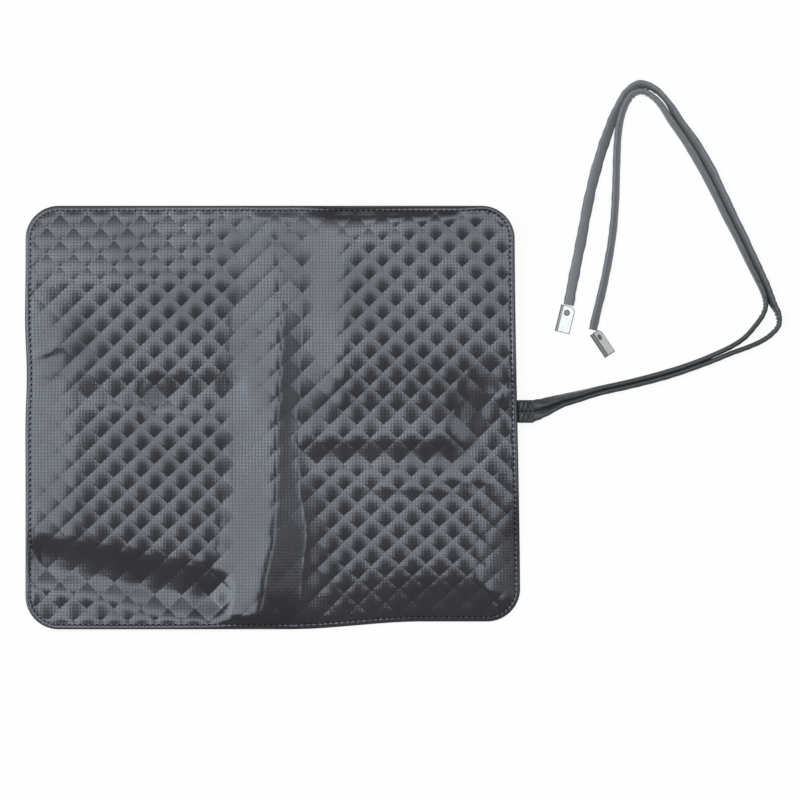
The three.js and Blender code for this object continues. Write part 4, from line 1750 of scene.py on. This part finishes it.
@dataclass
class Studio:
    """The camera of the photograph's view, the soft lights and the pale floor, in metres."""

    view_x: float = 0.0734
    view_y: float = 0.010
    view_width: float = 0.4568
    lens: float = 800.0
    plane: float = 0.009
    farthest: float = 90.0
    floor_reach: float = 18.0
    floor_share: float = 0.7
    wall_height: float = 9.0
    wall_bend: tuple[Spot, ...] = ((0.85, 0.05), (0.95, 0.2), (1.0, 0.5), (1.0, 1.0))
    floor_tone: Color = (0.86, 0.86, 0.86)
    floor_roughness: float = 0.9
    floor_glow: float = 0.92
    world_tone: Color = (0.11, 0.112, 0.12)
    bank_height: float = 16.0
    banks: tuple[Bank, ...] = (
        Bank("far_west_bank", -0.5, -0.12, 0.16, 0.36, 4.4),
        Bank("far_east_bank", -0.12, 0.44, 0.16, 0.36, 3.8),
        Bank("west_waist", -0.5, -0.08, 0.07, 0.16, 3.9),
        Bank("middle_waist", -0.08, 0.08, 0.07, 0.16, 2.3),
        Bank("east_waist", 0.08, 0.44, 0.07, 0.16, 3.5),
        Bank("west_foot", -0.5, -0.13, -0.02, 0.07, 3.9),
        Bank("middle_foot", -0.13, 0.13, -0.02, 0.07, 0.8),
        Bank("east_foot", 0.13, 0.44, -0.02, 0.07, 3.3),
        Bank("far_fringe", -0.5, 0.44, 0.36, 0.48, 2.5),
        Bank("far_end", -0.5, 0.44, 0.48, 0.76, 1.2),
        Bank("left_bank", -0.95, -0.5, -0.3, 0.44, 6.0),
        Bank("near_left_bank", -0.5, -0.145, -0.24, -0.02, 4.2),
        Bank("near_right_bank", 0.18, 0.38, -0.22, -0.02, 3.3),
        Bank("right_fringe", 0.44, 0.84, -0.24, 0.5, 0.85),
    )

    def camera(self) -> None:
        """Places the camera straight above, as the photograph was taken."""
        data = bpy.data.cameras.new("camera")
        data.lens = self.lens
        data.clip_end = self.farthest
        distance = self.view_width * data.lens / data.sensor_width
        viewer = bpy.data.objects.new("camera", data)
        viewer.location = (self.view_x, self.view_y, self.plane + distance)
        bpy.context.scene.collection.objects.link(viewer)
        bpy.context.scene.camera = viewer

    def lights(self) -> None:
        """Hangs banks of light all round but for a dark gap from overhead to the near side."""
        for bank in self.banks:
            bank.hang(self.bank_height)
        world = bpy.data.worlds.new("studio")
        bpy.context.scene.world = world
        world.use_nodes = True
        world.node_tree.nodes["Background"].inputs["Color"].default_value = (*self.world_tone, 1.0)
        bpy.context.scene.view_settings.view_transform = "Standard"

    def floor(self) -> None:
        """Lays the pale floor, which rises into a round wall far away."""
        sweep = bmesh.new()
        bmesh.ops.create_circle(sweep, cap_ends=True, segments=64, radius=self.floor_reach * self.floor_share)
        rim = sweep.edges[:]
        for radius, height in self.wall_bend:
            grown = bmesh.ops.extrude_edge_only(sweep, edges=rim)["geom"]
            rim = [item for item in grown if isinstance(item, bmesh.types.BMEdge)]
            for vertex in [item for item in grown if isinstance(item, bmesh.types.BMVert)]:
                around = vertex.co.xy.normalized() * self.floor_reach * radius
                vertex.co = (around.x, around.y, self.wall_height * height)
        mesh = bpy.data.meshes.new("floor")
        sweep.to_mesh(mesh)
        sweep.free()
        mesh.materials.append(self._floor_material())
        ground = bpy.data.objects.new("floor", mesh)
        bpy.context.scene.collection.objects.link(ground)

    def _floor_material(self) -> bpy.types.Material:
        """Mixes a floor that is white where it is looked at, straight or mirrored, and still takes shadows.

        Returns:
            The material.
        """
        mix = MaterialMix("pale_floor")
        mix.set(mix.shader, {"Base Color": (*self.floor_tone, 1.0), "Roughness": self.floor_roughness})
        glow = mix.add("Emission", {"Color": (1.0, 1.0, 1.0, 1.0)})
        path = mix.add("LightPath")
        seen = mix.combine("MAXIMUM", (path, "Is Camera Ray"), (path, "Is Glossy Ray"))
        through = mix.combine("MAXIMUM", (seen, "Value"), (path, "Is Transmission Ray"))
        share = mix.add("Math", {1: self.floor_glow}, operation="MULTIPLY")
        mix.join(through, "Value", share, 0)
        surface = mix.add("MixShader")
        mix.join(share, "Value", surface, "Fac")
        mix.join(mix.shader, "BSDF", surface, 1)
        mix.join(glow, "Emission", surface, 2)
        mix.join(surface, "Shader", mix.made.node_tree.nodes["Material Output"], "Surface")
        return mix.made


def build_straps(leather: bpy.types.Material, metal: bpy.types.Material, shade_painted_metal: bpy.types.Material,
                 shape: BagShape) -> list[bpy.types.Object]:
    """Builds both straps with their sleeves and tags.

    Args:
        leather: The straps' material.
        metal: The tags' polished face.
        shade_painted_metal: The darker metal painted as shade on the tags' edges, sides and top border, which
            the rivets are made of too.
        shape: The bag's lie.

    Returns:
        The pieces.
    """
    tags = MetalTags(metal, shade_painted_metal)
    pieces = []
    turns = {
        "inner": [Turn(0.0, 0.0), Turn(0.06, 66.0), Turn(0.12, 90.0), Turn(0.34, 92.0), Turn(0.42, 74.0),
                  Turn(0.58, 62.0), Turn(0.66, 78.0), Turn(0.72, 64.0), Turn(0.85, 58.0), Turn(1.0, 50.0)],
        "outer": [Turn(0.0, 0.0), Turn(0.06, 66.0), Turn(0.12, 90.0), Turn(0.35, 88.0), Turn(0.43, 52.0),
                  Turn(0.6, 38.0), Turn(0.645, 52.0), Turn(0.67, 74.0), Turn(0.74, 38.0), Turn(0.85, 16.0),
                  Turn(1.0, 4.0)],
    }
    for end, route in (("inner", INNER_ROUTE), ("outer", OUTER_ROUTE)):
        root = StrapRoot(f"root_sleeve_{end}", f"strap_root_{end}", leather, shape).build()
        fittings = tags.build(end)
        strap = TieStrap(f"leather_strap_{end}", f"tie_strap_{end}", route, turns[end], leather)
        pieces += [root, *fittings, strap.build([root, *fittings])]
    return pieces


def build_cover(shape: BagShape, thread: bpy.types.Material) -> list[bpy.types.Object]:
    """Builds the embossed cover with its rim and stitches.

    Args:
        shape: The bag's lie.
        thread: The stitches' material.

    Returns:
        The pieces.
    """
    leather = Leatherette("cover_leather", base=(0.033, 0.03, 0.032), sheen=(0.84, 0.9, 1.0), roughness=0.18,
                          ior=1.6).material()
    return OuterCover(shape, leather, thread).build()


def build_inside(shape: BagShape) -> list[bpy.types.Object]:
    """Builds the padding, the lining, the pockets and the flaps with their seams.

    Args:
        shape: The bag's lie.

    Returns:
        The pieces.
    """
    white = (1.0, 1.0, 1.0)
    lining = Leatherette("lining_cloth", base=(0.028, 0.029, 0.033), sheen=white, roughness=0.8, ior=1.4,
                         grain_pitch=0.6 * MM).material()
    foam = Leatherette("padding_foam", base=(0.27, 0.27, 0.28), sheen=white, roughness=0.95, ior=1.3,
                       grain_pitch=1.2 * MM).material()
    pocket = Leatherette("pocket_leather", base=(0.043, 0.045, 0.051), sheen=white, roughness=0.5, ior=1.5,
                         grain_pitch=0.7 * MM).material()
    padding = SoftSheet("foam_padding", low=6.9, high=8.35, inset=11.0, spine_reach=11.6, slot="foam",
                        nodes=("foam_padding_left", "foam_padding_right"), fill=0.5)
    inner = SoftSheet("inner_lining", low=6.0, high=6.6, inset=2.0, spine_reach=9.6, slot="lining_cloth",
                      nodes=("lining_left", "lining_right"))
    pieces = [padding.build(shape, foam), inner.build(shape, lining)]
    for side in Side:
        pieces += [BrushPockets(shape, pocket).build(side), CoverFlap(shape, lining).build(side),
                   FlapSeam(shape, lining).build(side)]
    return pieces


def report(pieces: list[bpy.types.Object]) -> None:
    """Logs each piece with the number of its faces."""
    for piece in pieces:
        log.info("built %s with %d faces", piece.name, len(piece.data.polygons))


def main() -> None:
    """Builds the studio, the straps and the bag in order, and reports each piece."""
    logging.basicConfig(level=logging.INFO, format="%(message)s")
    studio = Studio()
    studio.camera()
    shape = BagShape()
    # The straps' colour is painted paler over their far half: painted light, with painted shade at the bag
    strap_leather = Leatherette("strap_leather", base=(0.034, 0.036, 0.038), sheen=(0.95, 0.98, 1.0),
                                roughness=0.36, ior=1.5, grain_pitch=0.5 * MM, grain_depth=0.02 * MM,
                                painted_light=3.1).material()
    metal = PolishedMetal("tag_metal", color=(0.56, 0.565, 0.55), roughness=0.24).material()
    # A darker copy of the tag metal: painted shade for the tags' edges, sides and top border, also used for
    # the rivets
    shade_painted_metal = PolishedMetal("tag_metal_painted_shade", color=(0.17, 0.175, 0.17), roughness=0.4).material()
    report(build_straps(strap_leather, metal, shade_painted_metal, shape))
    thread = Leatherette("navy_thread", base=(0.008, 0.009, 0.016), sheen=(1.0, 1.0, 1.0), roughness=0.85,
                         ior=1.25, grain_pitch=0.3 * MM).material()
    report(build_cover(shape, thread))
    report(build_inside(shape))
    studio.lights()
    studio.floor()


if __name__ == "__main__":
    main()
